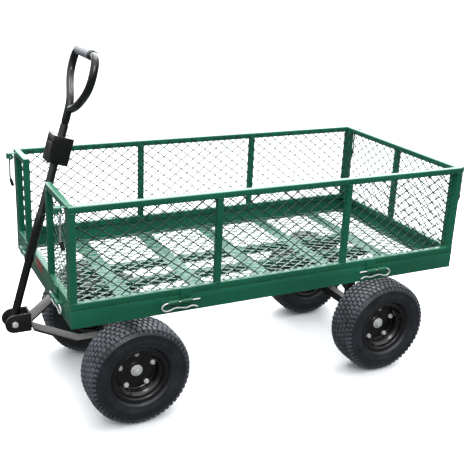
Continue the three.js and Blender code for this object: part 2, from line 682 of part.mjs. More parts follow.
function buildClevis() {
  const low = clevisPivotHeight - clevisEarRadius;
  const high = clevisPivotHeight + clevisEarRadius;
  const earOutline = [[clevisRear, low], [clevisPivotReach, low]];
  for (let i = 1; i < 12; i += 1) {
    const angle = -Math.PI / 2 + (i / 12) * Math.PI;
    earOutline.push([clevisPivotReach + clevisEarRadius * Math.cos(angle),
      clevisPivotHeight + clevisEarRadius * Math.sin(angle)]);
  }
  earOutline.push([clevisPivotReach, high], [clevisRear, high]);
  const near = plate(earOutline, 'xz', clevisHalfWidth - clevisWall, clevisHalfWidth);
  const far = plate(earOutline, 'xz', -clevisHalfWidth, -clevisHalfWidth + clevisWall);
  const web = block([clevisRear, clevisRear + clevisWall], [-clevisHalfWidth, clevisHalfWidth], [low, high]);
  const hole = bar([clevisPivotReach, -clevisHalfWidth - 1, clevisPivotHeight],
    [clevisPivotReach, clevisHalfWidth + 1, clevisPivotHeight], clevisBoltRadius + fit, 16);
  part('clevis', cut(join(near, far, web), hole), blackPaint);
  const face = clevisHalfWidth + fit;
  part('clevis_bolt', join(
    bar([clevisPivotReach, -face - 7, clevisPivotHeight], [clevisPivotReach, face + 2, clevisPivotHeight],
      clevisBoltRadius, 16),
    hexBar([clevisPivotReach, face, clevisPivotHeight], [clevisPivotReach, face + 6, clevisPivotHeight],
      clevisBoltHead),
    hexBar([clevisPivotReach, -face - 6, clevisPivotHeight], [clevisPivotReach, -face, clevisPivotHeight],
      clevisBoltHead)),
  zinc);
}

// ---- Handle, built upright on its pivot and leaned back as one group ----
function buildHandle() {
  const handle = new THREE.Group();
  handle.position.set(clevisPivotReach, 0, clevisPivotHeight);
  handle.rotation.y = -THREE.MathUtils.degToRad(handleLean);
  cart.add(handle);

  const eyeHalf = clevisHalfWidth - clevisWall - runningGap;
  const shaft = cut(
    join(bar([0, 0, 0], [0, 0, shaftLength], shaftRadius, 18),
      bar([0, 0, collarStart], [0, 0, collarEnd], collarRadius, 18),
      bar([0, -eyeHalf, 0], [0, eyeHalf, 0], crossEyeRadius, 20)),
    bar([0, -eyeHalf - 1, 0], [0, eyeHalf + 1, 0], clevisBoltRadius + fit, 16));
  part('handle_shaft', shaft, blackPaint, handle);

  const hitchTop = hitchStart + hitchHeight;
  const slotZ = hitchTop - hitchSlotBelowTop;
  const hitch = cut(
    block([-hitchDepth / 2, hitchDepth / 2], [-hitchWidth / 2, hitchWidth / 2], [hitchStart, hitchTop]),
    block([-hitchDepth / 2 + hitchWall, hitchDepth / 2 - hitchWall],
      [-hitchWidth / 2 + hitchWall, hitchWidth / 2 - hitchWall], [hitchStart - 1, hitchTop - hitchWall]),
    block([0, hitchDepth], [-hitchSlotWidth / 2, hitchSlotWidth / 2],
      [slotZ - hitchSlotHeight / 2, slotZ + hitchSlotHeight / 2]),
    bar([0, 0, hitchTop - hitchWall - 1], [0, 0, hitchTop + 1], shaftRadius + fit, 20));
  part('hitch_box', hitch, blackPaint, handle);

  const middle = (gripFrom + gripTo) / 2;
  const point = ([y, belowTop]) => new THREE.Vector3(0, y, loopTop - belowTop);
  const stem = loopTop - shaftLength - fit;
  const rightHalf = new THREE.CatmullRomCurve3([
    [0, stem], [0, stem - 15], [-1, stem - 38], [-8, loopFork], [-loopRight * 0.72, 96], [-loopRight * 0.95, 68],
    [-loopRight, 32], [-loopRight * 0.93, 10], [gripFrom - gripInset, 0], [gripFrom, 0], [middle, 0],
  ].map(point), false, 'centripetal');
  const leftHalf = new THREE.CatmullRomCurve3([
    [middle, 0], [gripTo, 0], [gripTo + gripInset, 0], [loopLeft * 0.9, 9], [loopLeft * 0.95, 26], [loopLeft, 60],
    [loopLeft * 0.95, 92], [loopLeft * 0.74, 126], [loopLeft * 0.4, 158], [10, loopFork + 26],
  ].map(point), false, 'centripetal');
  part('handle_loop', join(wire(rightHalf, loopRadius, 22, 10), wire(leftHalf, loopRadius, 20, 10)),
    blackPaint, handle);
  const grip = cut(bar([0, gripFrom, loopTop], [0, gripTo, loopTop], gripRadius, 20),
    bar([0, gripFrom - 1, loopTop], [0, gripTo + 1, loopTop], loopRadius + runningGap * 2, 20));
  part('hand_grip', grip, gripFoam, handle);
}

buildTray();
buildHingePins();
buildPanels();
buildLatches();
buildWheels();
buildRearAxle();
buildTurntable();
buildFrontAxle();
buildClevis();
buildHandle();

export default cart;
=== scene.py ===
# Green steel mesh garden cart: expanded-metal deck and panels, turf tyres, black running gear, loop handle.
# Metres, +Z up, +X to the handle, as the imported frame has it.
import bpy
import json
import math
from mathutils import Matrix, Vector

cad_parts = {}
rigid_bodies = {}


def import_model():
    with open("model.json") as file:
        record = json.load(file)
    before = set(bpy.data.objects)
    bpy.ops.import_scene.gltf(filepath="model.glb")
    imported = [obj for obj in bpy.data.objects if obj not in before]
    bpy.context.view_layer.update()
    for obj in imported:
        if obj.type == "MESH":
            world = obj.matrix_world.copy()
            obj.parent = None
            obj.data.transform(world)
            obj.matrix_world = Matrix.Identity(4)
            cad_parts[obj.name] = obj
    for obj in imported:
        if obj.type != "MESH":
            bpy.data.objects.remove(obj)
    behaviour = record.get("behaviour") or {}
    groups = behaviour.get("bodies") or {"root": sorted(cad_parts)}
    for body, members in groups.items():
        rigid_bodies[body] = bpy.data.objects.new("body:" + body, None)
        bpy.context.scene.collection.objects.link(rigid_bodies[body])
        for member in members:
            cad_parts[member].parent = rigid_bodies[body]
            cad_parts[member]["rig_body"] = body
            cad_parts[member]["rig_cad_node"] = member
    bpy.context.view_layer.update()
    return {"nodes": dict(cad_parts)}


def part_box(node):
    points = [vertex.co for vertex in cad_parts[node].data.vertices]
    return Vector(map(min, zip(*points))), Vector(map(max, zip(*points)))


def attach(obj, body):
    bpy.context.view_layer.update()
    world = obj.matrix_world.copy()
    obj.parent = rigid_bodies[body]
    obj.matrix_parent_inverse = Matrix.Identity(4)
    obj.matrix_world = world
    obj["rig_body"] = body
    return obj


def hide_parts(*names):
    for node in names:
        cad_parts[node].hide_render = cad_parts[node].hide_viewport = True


print("garden cart: loading the frame")
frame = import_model()


facing = {"roughly": 0.9, "squarely": 0.98}  # least share of a normal along the axis it is picked by
spinWeld = 0.00002  # points closer than this are merged in a spun shape


# small helpers that stand in for the hand on the mouse
def clearSelection():
    if bpy.context.mode != "OBJECT":
        bpy.ops.object.mode_set(mode="OBJECT")
    bpy.ops.object.select_all(action="DESELECT")


def takeHold(piece):
    clearSelection()
    piece.select_set(True)
    bpy.context.view_layer.objects.active = piece


def pick(piece, faces=None, edges=None, points=None):
    takeHold(piece)
    mesh = piece.data
    for point in mesh.vertices:
        point.select = bool(points and points(point.co))
    for edge in mesh.edges:
        ends = [mesh.vertices[i].co for i in edge.vertices]
        edge.select = bool(edges and edges(*ends))
    for face in mesh.polygons:
        face.select = bool(faces and faces(face.center, face.normal))
    bpy.context.tool_settings.mesh_select_mode = (bool(points), bool(edges), bool(faces))
    bpy.ops.object.mode_set(mode="EDIT")


def pickAll(piece):
    takeHold(piece)
    bpy.ops.object.mode_set(mode="EDIT")
    bpy.ops.mesh.select_mode(type="VERT")
    bpy.ops.mesh.select_all(action="SELECT")


def backOut():
    bpy.ops.object.mode_set(mode="OBJECT")


def settle(piece):
    takeHold(piece)
    bpy.ops.object.transform_apply(location=True, rotation=True, scale=True)


def applyModifier(piece, kind, **values):
    takeHold(piece)
    modifier = piece.modifiers.new(kind.title(), kind)
    for key, value in values.items():
        setattr(modifier, key, value)
    bpy.ops.object.modifier_apply(modifier=modifier.name)


def smoothBy(piece, degrees):
    takeHold(piece)
    bpy.ops.object.shade_smooth_by_angle(angle=math.radians(degrees))


def mergePoints(piece, distance):
    pickAll(piece)
    bpy.ops.mesh.remove_doubles(threshold=distance)
    backOut()


def faceOutwards(piece):
    pickAll(piece)
    bpy.ops.mesh.normals_make_consistent(inside=False)
    backOut()


def joinPieces(pieces):
    clearSelection()
    for piece in pieces:
        piece.select_set(True)
    bpy.context.view_layer.objects.active = pieces[0]
    bpy.ops.object.join()
    return pieces[0]


def copyPiece(piece, name):
    takeHold(piece)
    bpy.ops.object.duplicate(linked=False)
    twin = bpy.context.active_object
    twin.name = name
    return twin


def finishPiece(piece, name, body, slotName, material, nodes=()):
    piece.name = name
    piece.data.name = name
    piece.data.materials.clear()
    piece.data.materials.append(material)
    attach(piece, body)
    if nodes:
        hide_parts(*nodes)
    return piece


def spunFrom(profile, steps):
    # the profile is (radius, along Y) and is turned about the Y axis
    bpy.ops.curve.primitive_bezier_curve_add(location=(0, 0, 0))
    outline = bpy.context.active_object
    outline.data.splines.clear()
    spline = outline.data.splines.new("POLY")
    spline.points.add(len(profile) - 1)
    for point, (radius, along) in zip(spline.points, profile):
        point.co = (radius, along, 0, 1)
    spline.use_cyclic_u = True
    takeHold(outline)
    bpy.ops.object.convert(target="MESH")
    turned = bpy.context.active_object
    pickAll(turned)
    bpy.ops.mesh.spin(steps=steps, angle=2 * math.pi, center=(0, 0, 0), axis=(0, 1, 0))
    backOut()
    mergePoints(turned, spinWeld)
    faceOutwards(turned)
    return turned


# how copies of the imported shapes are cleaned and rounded: lengths in metres, angles in degrees
cleaning = {"weld": 0.00001, "flat": 1.2, "sharp": 38, "segments": 2, "smooth": 35, "wireQuads": 60,
            "wireSmooth": 60}


def packedCopy(node):
    piece = copyPiece(frame["nodes"][node], node)
    piece.parent = None
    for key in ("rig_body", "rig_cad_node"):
        del piece[key]
    mergePoints(piece, cleaning["weld"])
    return piece


def refinedCopy(node, bevel):
    piece = packedCopy(node)
    pickAll(piece)
    bpy.ops.mesh.dissolve_limited(angle_limit=math.radians(cleaning["flat"]))
    backOut()
    applyModifier(piece, "BEVEL", width=bevel, segments=cleaning["segments"], limit_method="ANGLE",
                  angle_limit=math.radians(cleaning["sharp"]), use_clamp_overlap=True, harden_normals=False)
    smoothBy(piece, cleaning["smooth"])
    return piece


def roundedCopy(node, grow):
    piece = packedCopy(node)
    limit = math.radians(cleaning["wireQuads"])
    pickAll(piece)
    bpy.ops.mesh.tris_convert_to_quads(face_threshold=limit, shape_threshold=limit)
    backOut()
    applyModifier(piece, "SUBSURF", levels=1, render_levels=1)
    applyModifier(piece, "DISPLACE", strength=grow, mid_level=0)
    smoothBy(piece, cleaning["wireSmooth"])
    return piece


# shader groups, built once and placed in each finish with its own values
def startGroup(name, inputs, outputs):
    group = bpy.data.node_groups.new(name, "ShaderNodeTree")
    for label, kind, value in inputs:
        socket = group.interface.new_socket(name=label, in_out="INPUT", socket_type=kind)
        socket.default_value = value
    for label, kind in outputs:
        group.interface.new_socket(name=label, in_out="OUTPUT", socket_type=kind)
    entry = group.nodes.new("NodeGroupInput")
    entry.location = (-900, 0)
    leave = group.nodes.new("NodeGroupOutput")
    leave.location = (600, 0)
    return group, entry, leave


def addNode(tree, kind, place, settings=None, **values):
    node = tree.nodes.new(kind)
    node.location = place
    for key, value in (settings or {}).items():
        setattr(node, key, value)
    for key, value in values.items():
        node.inputs[key.replace("_", " ")].default_value = value
    return node


def addMath(tree, operation, place, first, second, clamp=False):
    node = tree.nodes.new("ShaderNodeMath")
    node.operation = operation
    node.use_clamp = clamp
    node.location = place
    for socket, value in zip(node.inputs, (first, second)):
        if isinstance(value, (int, float)):
            socket.default_value = value
        else:
            tree.links.new(value, socket)
    return node.outputs[0]


def addMix(tree, place, amount, first, second):
    node = tree.nodes.new("ShaderNodeMix")
    node.data_type = "RGBA"
    node.location = place
    for socket, value in zip((node.inputs[0], node.inputs[6], node.inputs[7]), (amount, first, second)):
        if isinstance(value, (int, float, tuple)):
            socket.default_value = value
        else:
            tree.links.new(value, socket)
    return node.outputs[2]


def spread(tree, place, value, low, high):
    node = addNode(tree, "ShaderNodeMapRange", place)
    tree.links.new(value, node.inputs["Value"])
    for label, limit in (("To Min", low), ("To Max", high)):
        if isinstance(limit, (int, float)):
            node.inputs[label].default_value = limit
        else:
            tree.links.new(limit, node.inputs[label])
    return node.outputs[0]


def buildPaintSkin():
    # powder coat: slow drifts of colour, fine orange peel and a roughness that wanders a little
    group, entry, leave = startGroup("paintSkin", [
        ("Paint", "NodeSocketColor", (0.01, 0.1, 0.05, 1)),
        ("Deep Paint", "NodeSocketColor", (0.005, 0.05, 0.03, 1)),
        ("Patch Scale", "NodeSocketFloat", 6.0), ("Peel Scale", "NodeSocketFloat", 700.0),
        ("Rough Low", "NodeSocketFloat", 0.25), ("Rough High", "NodeSocketFloat", 0.4),
    ], [("Colour", "NodeSocketColor"), ("Roughness", "NodeSocketFloat"), ("Height", "NodeSocketFloat")])
    links = group.links
    place = addNode(group, "ShaderNodeTexCoord", (-900, 300))
    patches = addNode(group, "ShaderNodeTexNoise", (-650, 250), Detail=3.0)
    links.new(place.outputs["Object"], patches.inputs["Vector"])
    links.new(entry.outputs["Patch Scale"], patches.inputs["Scale"])
    peel = addNode(group, "ShaderNodeTexNoise", (-650, -50), Detail=1.5)
    links.new(place.outputs["Object"], peel.inputs["Vector"])
    links.new(entry.outputs["Peel Scale"], peel.inputs["Scale"])
    smear = addNode(group, "ShaderNodeTexNoise", (-650, -350), Detail=6.0, Scale=38.0, Roughness=0.7)
    links.new(place.outputs["Object"], smear.inputs["Vector"])
    drift = spread(group, (-400, 250), patches.outputs[0], -0.6, 1.6)
    links.new(addMix(group, (-100, 250), drift, entry.outputs["Deep Paint"], entry.outputs["Paint"]),
              leave.inputs["Colour"])
    roughLimits = (entry.outputs["Rough Low"], entry.outputs["Rough High"])
    rough = spread(group, (-100, -300), smear.outputs[0], *roughLimits)
    links.new(rough, leave.inputs["Roughness"])
    links.new(peel.outputs[0], leave.inputs["Height"])
    return group


def buildEdgeWearAndHighlight():
    # rubbed edges and a painted edge highlight: a lighter colour where a rounded normal leaves the face's own,
    # broken up by noise
    group, entry, leave = startGroup("edgeWearAndHighlight", [
        ("Edge Width", "NodeSocketFloat", 0.0015), ("Amount", "NodeSocketFloat", 0.5),
        ("Chip Scale", "NodeSocketFloat", 60.0),
    ], [("Mask", "NodeSocketFloat")])
    links = group.links
    rounded = addNode(group, "ShaderNodeBevel", (-650, 200), {"samples": 4})
    links.new(entry.outputs["Edge Width"], rounded.inputs["Radius"])
    surface = addNode(group, "ShaderNodeNewGeometry", (-650, 0))
    compare = addNode(group, "ShaderNodeVectorMath", (-400, 150), {"operation": "DOT_PRODUCT"})
    links.new(rounded.outputs[0], compare.inputs[0])
    links.new(surface.outputs["Normal"], compare.inputs[1])
    edge = addMath(group, "SUBTRACT", (-200, 150), 1.0, compare.outputs["Value"])
    edge = addMath(group, "MULTIPLY", (-50, 150), edge, 9.0, True)
    place = addNode(group, "ShaderNodeTexCoord", (-900, -250))
    chips = addNode(group, "ShaderNodeTexNoise", (-650, -250), Detail=8.0, Roughness=0.75)
    links.new(place.outputs["Object"], chips.inputs["Vector"])
    links.new(entry.outputs["Chip Scale"], chips.inputs["Scale"])
    broken = addMath(group, "SUBTRACT", (-350, -250), chips.outputs[0], 0.45)
    broken = addMath(group, "MULTIPLY", (-200, -250), broken, 5.0, True)
    wornAndLit = addMath(group, "MULTIPLY", (120, 0), edge, broken)
    links.new(addMath(group, "MULTIPLY", (300, 0), wornAndLit, entry.outputs["Amount"], True), leave.inputs["Mask"])
    return group


def buildDustFilm():
    # dust that settles on faces that look up
    group, entry, leave = startGroup("dustFilm", [
        ("Amount", "NodeSocketFloat", 0.2), ("Scale", "NodeSocketFloat", 25.0),
    ], [("Mask", "NodeSocketFloat")])
    links = group.links
    place = addNode(group, "ShaderNodeTexCoord", (-900, 200))
    parts = addNode(group, "ShaderNodeSeparateXYZ", (-650, 200))
    links.new(place.outputs["Normal"], parts.inputs[0])
    upward = spread(group, (-400, 200), parts.outputs["Z"], 0.15, 1.0)
    cloud = addNode(group, "ShaderNodeTexNoise", (-650, -100), Detail=7.0, Roughness=0.68)
    links.new(place.outputs["Object"], cloud.inputs["Vector"])
    links.new(entry.outputs["Scale"], cloud.inputs["Scale"])
    thick = addMath(group, "MULTIPLY", (-400, -100), cloud.outputs[0], 1.3, True)
    film = addMath(group, "MULTIPLY", (-150, 50), upward, thick)
    links.new(addMath(group, "MULTIPLY", (150, 0), film, entry.outputs["Amount"], True), leave.inputs["Mask"])
    return group


def buildPlatedGrain():
    # zinc plate: small crystals, a cloudy sheen and fine scratches
    group, entry, leave = startGroup("platedGrain", [
        ("Bright", "NodeSocketColor", (0.7, 0.7, 0.7, 1)), ("Dull", "NodeSocketColor", (0.4, 0.4, 0.42, 1)),
        ("Crystal Scale", "NodeSocketFloat", 260.0), ("Rough Low", "NodeSocketFloat", 0.2),
        ("Rough High", "NodeSocketFloat", 0.45),
    ], [("Colour", "NodeSocketColor"), ("Roughness", "NodeSocketFloat"), ("Height", "NodeSocketFloat")])
    links = group.links
    place = addNode(group, "ShaderNodeTexCoord", (-900, 300))
    crystal = addNode(group, "ShaderNodeTexVoronoi", (-650, 300))
    links.new(place.outputs["Object"], crystal.inputs["Vector"])
    links.new(entry.outputs["Crystal Scale"], crystal.inputs["Scale"])
    sheen = addNode(group, "ShaderNodeTexNoise", (-650, 0), Scale=45.0, Detail=5.0)
    links.new(place.outputs["Object"], sheen.inputs["Vector"])
    grey = addNode(group, "ShaderNodeRGBToBW", (-420, 320))
    links.new(crystal.outputs["Color"], grey.inputs[0])
    blend = addMath(group, "MULTIPLY", (-250, 250), grey.outputs[0], sheen.outputs[0])
    blend = addMath(group, "MULTIPLY", (-100, 250), blend, 2.2, True)
    colour = addMix(group, (120, 250), blend, entry.outputs["Dull"], entry.outputs["Bright"])
    links.new(colour, leave.inputs["Colour"])
    roughLimits = (entry.outputs["Rough Low"], entry.outputs["Rough High"])
    rough = spread(group, (120, 0), sheen.outputs[0], *roughLimits)
    links.new(rough, leave.inputs["Roughness"])
    links.new(crystal.outputs["Distance"], leave.inputs["Height"])
    return group


def buildMouldGrain():
    # moulded rubber or vinyl: pebbled grain, and lighter patches that are chalky bloom and, on the tyres, also
    # a painted bluish highlight
    group, entry, leave = startGroup("mouldGrain", [
        ("Base", "NodeSocketColor", (0.02, 0.02, 0.02, 1)),
        ("Bloom And Sheen", "NodeSocketColor", (0.06, 0.06, 0.065, 1)),
        ("Bloom And Sheen Amount", "NodeSocketFloat", 0.5), ("Grain Scale", "NodeSocketFloat", 500.0),
        ("Rough Low", "NodeSocketFloat", 0.5), ("Rough High", "NodeSocketFloat", 0.8),
    ], [("Colour", "NodeSocketColor"), ("Roughness", "NodeSocketFloat"), ("Height", "NodeSocketFloat")])
    links = group.links
    place = addNode(group, "ShaderNodeTexCoord", (-900, 300))
    # lighter patches: chalky bloom, and on the tyres also a painted highlight
    bloomAndSheen = addNode(group, "ShaderNodeTexNoise", (-650, 300), Scale=17.0, Detail=7.0, Roughness=0.65)
    links.new(place.outputs["Object"], bloomAndSheen.inputs["Vector"])
    grain = addNode(group, "ShaderNodeTexNoise", (-650, 0), Detail=3.0)
    links.new(place.outputs["Object"], grain.inputs["Vector"])
    links.new(entry.outputs["Grain Scale"], grain.inputs["Scale"])
    chalkAndSheen = addMath(group, "MULTIPLY", (-400, 300), bloomAndSheen.outputs[0], bloomAndSheen.outputs[0])
    chalkAndSheen = addMath(group, "MULTIPLY", (-250, 300), chalkAndSheen, 2.4, True)
    chalkAndSheen = addMath(group, "MULTIPLY", (-100, 300), chalkAndSheen, entry.outputs["Bloom And Sheen Amount"], True)
    colour = addMix(group, (120, 250), chalkAndSheen, entry.outputs["Base"], entry.outputs["Bloom And Sheen"])
    links.new(colour, leave.inputs["Colour"])
    roughLimits = (entry.outputs["Rough Low"], entry.outputs["Rough High"])
    rough = spread(group, (120, 0), bloomAndSheen.outputs[0], *roughLimits)
    links.new(rough, leave.inputs["Roughness"])
    links.new(grain.outputs[0], leave.inputs["Height"])
    return group


print("garden cart: mixing the paints and metals")
paintSkin = buildPaintSkin()
edgeWearAndHighlight = buildEdgeWearAndHighlight()
dustFilm = buildDustFilm()
platedGrain = buildPlatedGrain()
mouldGrain = buildMouldGrain()


def startFinish(name):
    finish = bpy.data.materials.new(name)
    finish.use_nodes = True
    tree = finish.node_tree
    return finish, tree, tree.nodes["Principled BSDF"]


# what every paint, plate and moulding shares: depths of relief in metres, scales of chips and dust
finishScale = {"paintRelief": 0.0004, "plateRelief": 0.0002, "mouldRelief": 0.0005, "chips": 70.0,
               "paintDust": 30.0, "mouldDust": 22.0}
paleDust = (0.42, 0.41, 0.38, 1)
rubberDust = (0.3, 0.29, 0.27, 1)


def placeGroup(tree, group, place, values):
    node = tree.nodes.new("ShaderNodeGroup")
    node.node_tree = group
    node.location = place
    for label, value in values.items():
        node.inputs[label].default_value = value
    return node


def addRelief(tree, shader, height, strength, distance):
    bump = addNode(tree, "ShaderNodeBump", (-260, -420), Strength=strength, Distance=distance)
    tree.links.new(height, bump.inputs["Height"])
    tree.links.new(bump.outputs[0], shader.inputs["Normal"])


def mixPaint(name, look):
    finish, tree, shader = startFinish(name)
    skin = placeGroup(tree, paintSkin, (-1000, 200), {
        "Paint": look["paint"], "Deep Paint": look["deep"], "Patch Scale": look["patch"],
        "Peel Scale": look["peel"], "Rough Low": look["rough"][0], "Rough High": look["rough"][1]})
    colour = skin.outputs["Colour"]
    # lighter edges: rubbed paint, and a painted edge highlight
    if "wearAndHighlight" in look:
        wearAndHighlight = placeGroup(tree, edgeWearAndHighlight, (-1000, -150), {
            "Edge Width": look["edge"], "Amount": look["wearAndHighlight"], "Chip Scale": finishScale["chips"]})
        colour = addMix(tree, (-700, 150), wearAndHighlight.outputs["Mask"], colour, look["bare"])
    dust = placeGroup(tree, dustFilm, (-1000, -350), {
        "Amount": look["dust"], "Scale": finishScale["paintDust"]})
    colour = addMix(tree, (-450, 150), dust.outputs["Mask"], colour, look["dustColour"])
    tree.links.new(colour, shader.inputs["Base Color"])
    tree.links.new(addMath(tree, "ADD", (-450, -100), skin.outputs["Roughness"], dust.outputs["Mask"], True),
                   shader.inputs["Roughness"])
    addRelief(tree, shader, skin.outputs["Height"], look["peelStrength"], finishScale["paintRelief"])
    shader.inputs["Coat Weight"].default_value = look["coat"]
    shader.inputs["Coat Roughness"].default_value = look["coatRough"]
    shader.inputs["Specular IOR Level"].default_value = look["gloss"]
    return finish


def mixPlate(name, look):
    finish, tree, shader = startFinish(name)
    grain = placeGroup(tree, platedGrain, (-800, 200), {
        "Bright": look["bright"], "Dull": look["dull"], "Crystal Scale": look["crystal"],
        "Rough Low": look["rough"][0], "Rough High": look["rough"][1]})
    tree.links.new(grain.outputs["Colour"], shader.inputs["Base Color"])
    tree.links.new(grain.outputs["Roughness"], shader.inputs["Roughness"])
    addRelief(tree, shader, grain.outputs["Height"], look["relief"], finishScale["plateRelief"])
    shader.inputs["Metallic"].default_value = look["metal"]
    return finish


def mixMould(name, look):
    finish, tree, shader = startFinish(name)
    grain = placeGroup(tree, mouldGrain, (-1000, 200), {
        "Base": look["base"], "Bloom And Sheen": look["bloomAndSheen"], "Bloom And Sheen Amount": look["bloomAndSheenAmount"],
        "Grain Scale": look["grain"], "Rough Low": look["rough"][0], "Rough High": look["rough"][1]})
    dust = placeGroup(tree, dustFilm, (-1000, -250), {
        "Amount": look["dust"], "Scale": finishScale["mouldDust"]})
    colour = addMix(tree, (-450, 150), dust.outputs["Mask"], grain.outputs["Colour"], rubberDust)
    tree.links.new(colour, shader.inputs["Base Color"])
    tree.links.new(grain.outputs["Roughness"], shader.inputs["Roughness"])
    addRelief(tree, shader, grain.outputs["Height"], look["relief"], finishScale["mouldRelief"])
    shader.inputs["Specular IOR Level"].default_value = look["gloss"]
    return finish


# each paint's lighter edge colour is partly rubbed paint and partly a painted edge highlight
greenPaint = mixPaint("greenPowderCoat", {
    "paint": (0.008, 0.152, 0.08, 1), "deep": (0.004, 0.1, 0.052, 1), "patch": 5.0, "peel": 650.0,
    "rough": (0.2, 0.34), "wearAndHighlight": 0.35, "edge": 0.0016, "bare": (0.16, 0.3, 0.24, 1), "dust": 0.06,
    "dustColour": paleDust, "peelStrength": 0.12, "coat": 0.1, "coatRough": 0.12, "gloss": 0.4})
meshPaint = mixPaint("greenMeshCoat", {
    "paint": (0.02, 0.07, 0.052, 1), "deep": (0.009, 0.04, 0.03, 1), "patch": 9.0, "peel": 900.0,
    "rough": (0.25, 0.4), "dust": 0.1, "dustColour": paleDust, "peelStrength": 0.1,
    "coat": 0.04, "coatRough": 0.2, "gloss": 0.32})
deckPaint = mixPaint("greenDeckCoat", {
    "paint": (0.09, 0.19, 0.155, 1), "deep": (0.03, 0.1, 0.075, 1), "patch": 7.0, "peel": 800.0,
    "rough": (0.24, 0.4), "dust": 0.3, "dustColour": paleDust, "peelStrength": 0.14,
    "coat": 0.15, "coatRough": 0.2, "gloss": 0.55})
underPaint = mixPaint("underframeBlack", {
    "paint": (0.008, 0.008, 0.0085, 1), "deep": (0.003, 0.003, 0.003, 1), "patch": 8.0, "peel": 500.0,
    "rough": (0.3, 0.5), "wearAndHighlight": 0.3, "edge": 0.0016, "bare": (0.13, 0.125, 0.12, 1), "dust": 0.22,
    "dustColour": (0.3, 0.27, 0.24, 1), "peelStrength": 0.2, "coat": 0.05, "coatRough": 0.25, "gloss": 0.35})
handlePaint = mixPaint("handleGlossBlack", {
    "paint": (0.004, 0.004, 0.0045, 1), "deep": (0.002, 0.002, 0.002, 1), "patch": 7.0, "peel": 420.0,
    "rough": (0.12, 0.24), "wearAndHighlight": 0.25, "edge": 0.0014, "bare": (0.12, 0.12, 0.12, 1), "dust": 0.03,
    "dustColour": paleDust, "peelStrength": 0.1, "coat": 0.3, "coatRough": 0.06, "gloss": 0.5})
rimPaint = mixPaint("rimEnamelBlack", {
    "paint": (0.004, 0.004, 0.0045, 1), "deep": (0.002, 0.002, 0.0025, 1), "patch": 11.0, "peel": 520.0,
    "rough": (0.16, 0.3), "wearAndHighlight": 0.25, "edge": 0.0012, "bare": (0.14, 0.14, 0.14, 1), "dust": 0.03,
    "dustColour": paleDust, "peelStrength": 0.15, "coat": 0.3, "coatRough": 0.1, "gloss": 0.5})
patchPaint = mixPaint("plainRedPatch", {
    "paint": (0.5, 0.02, 0.012, 1), "deep": (0.34, 0.014, 0.01, 1), "patch": 30.0, "peel": 300.0,
    "rough": (0.3, 0.45), "dust": 0.1, "dustColour": paleDust, "peelStrength": 0.05,
    "coat": 0.3, "coatRough": 0.2, "gloss": 0.5})
zincPlate = mixPlate("brightZincPlate", {
    "bright": (0.93, 0.93, 0.91, 1), "dull": (0.7, 0.71, 0.7, 1), "crystal": 420.0, "rough": (0.22, 0.42),
    "relief": 0.05, "metal": 0.25})
rodPlate = mixPlate("dullZincPlate", {
    "bright": (0.5, 0.51, 0.51, 1), "dull": (0.3, 0.31, 0.32, 1), "crystal": 420.0, "rough": (0.28, 0.46),
    "relief": 0.05, "metal": 0.5})
# tyre and tread: the bluish patches are chalky bloom and also a painted highlight on the lower sidewall and the
# tread tops
tyreRubber = mixMould("turfTyreRubber", {
    "base": (0.006, 0.0062, 0.007, 1), "bloomAndSheen": (0.034, 0.04, 0.05, 1), "bloomAndSheenAmount": 0.7, "grain": 420.0,
    "rough": (0.26, 0.44), "relief": 0.3, "dust": 0.05, "gloss": 0.45})
treadRubber = mixMould("turfTreadRubber", {
    "base": (0.013, 0.0142, 0.0175, 1), "bloomAndSheen": (0.13, 0.14, 0.165, 1), "bloomAndSheenAmount": 0.9, "grain": 300.0,
    "rough": (0.3, 0.56), "relief": 0.45, "dust": 0.12, "gloss": 0.5})
gripVinyl = mixMould("greyGripVinyl", {
    "base": (0.2, 0.21, 0.23, 1), "bloomAndSheen": (0.34, 0.35, 0.37, 1), "bloomAndSheenAmount": 0.6, "grain": 650.0,
    "rough": (0.45, 0.62), "relief": 0.3, "dust": 0.06, "gloss": 0.5})
blackVinyl = mixMould("blackVinyl", {
    "base": (0.008, 0.008, 0.009, 1), "bloomAndSheen": (0.03, 0.03, 0.03, 1), "bloomAndSheenAmount": 0.5, "grain": 650.0,
    "rough": (0.35, 0.5), "relief": 0.2, "dust": 0.05, "gloss": 0.5})


# expanded metal: one diamond with slanted strands, repeated and trimmed to the sheet
panelWeave = {"wide": 0.046, "tall": 0.0345, "strand": 0.0032, "slant": 0.0006, "thick": 0.0011}
deckWeave = {"wide": 0.057, "tall": 0.037, "strand": 0.0042, "slant": 0.0011, "thick": 0.0014}
sheetShape = {
    "spare": 2,  # diamonds beyond the sheet that are trimmed away
    "lip": 0.96,  # share of the half height within which a point belongs to the opening
    "lipFrom": 0.002, "onAxis": 0.001, "weld": 0.00005, "trim": 0.0004,
}


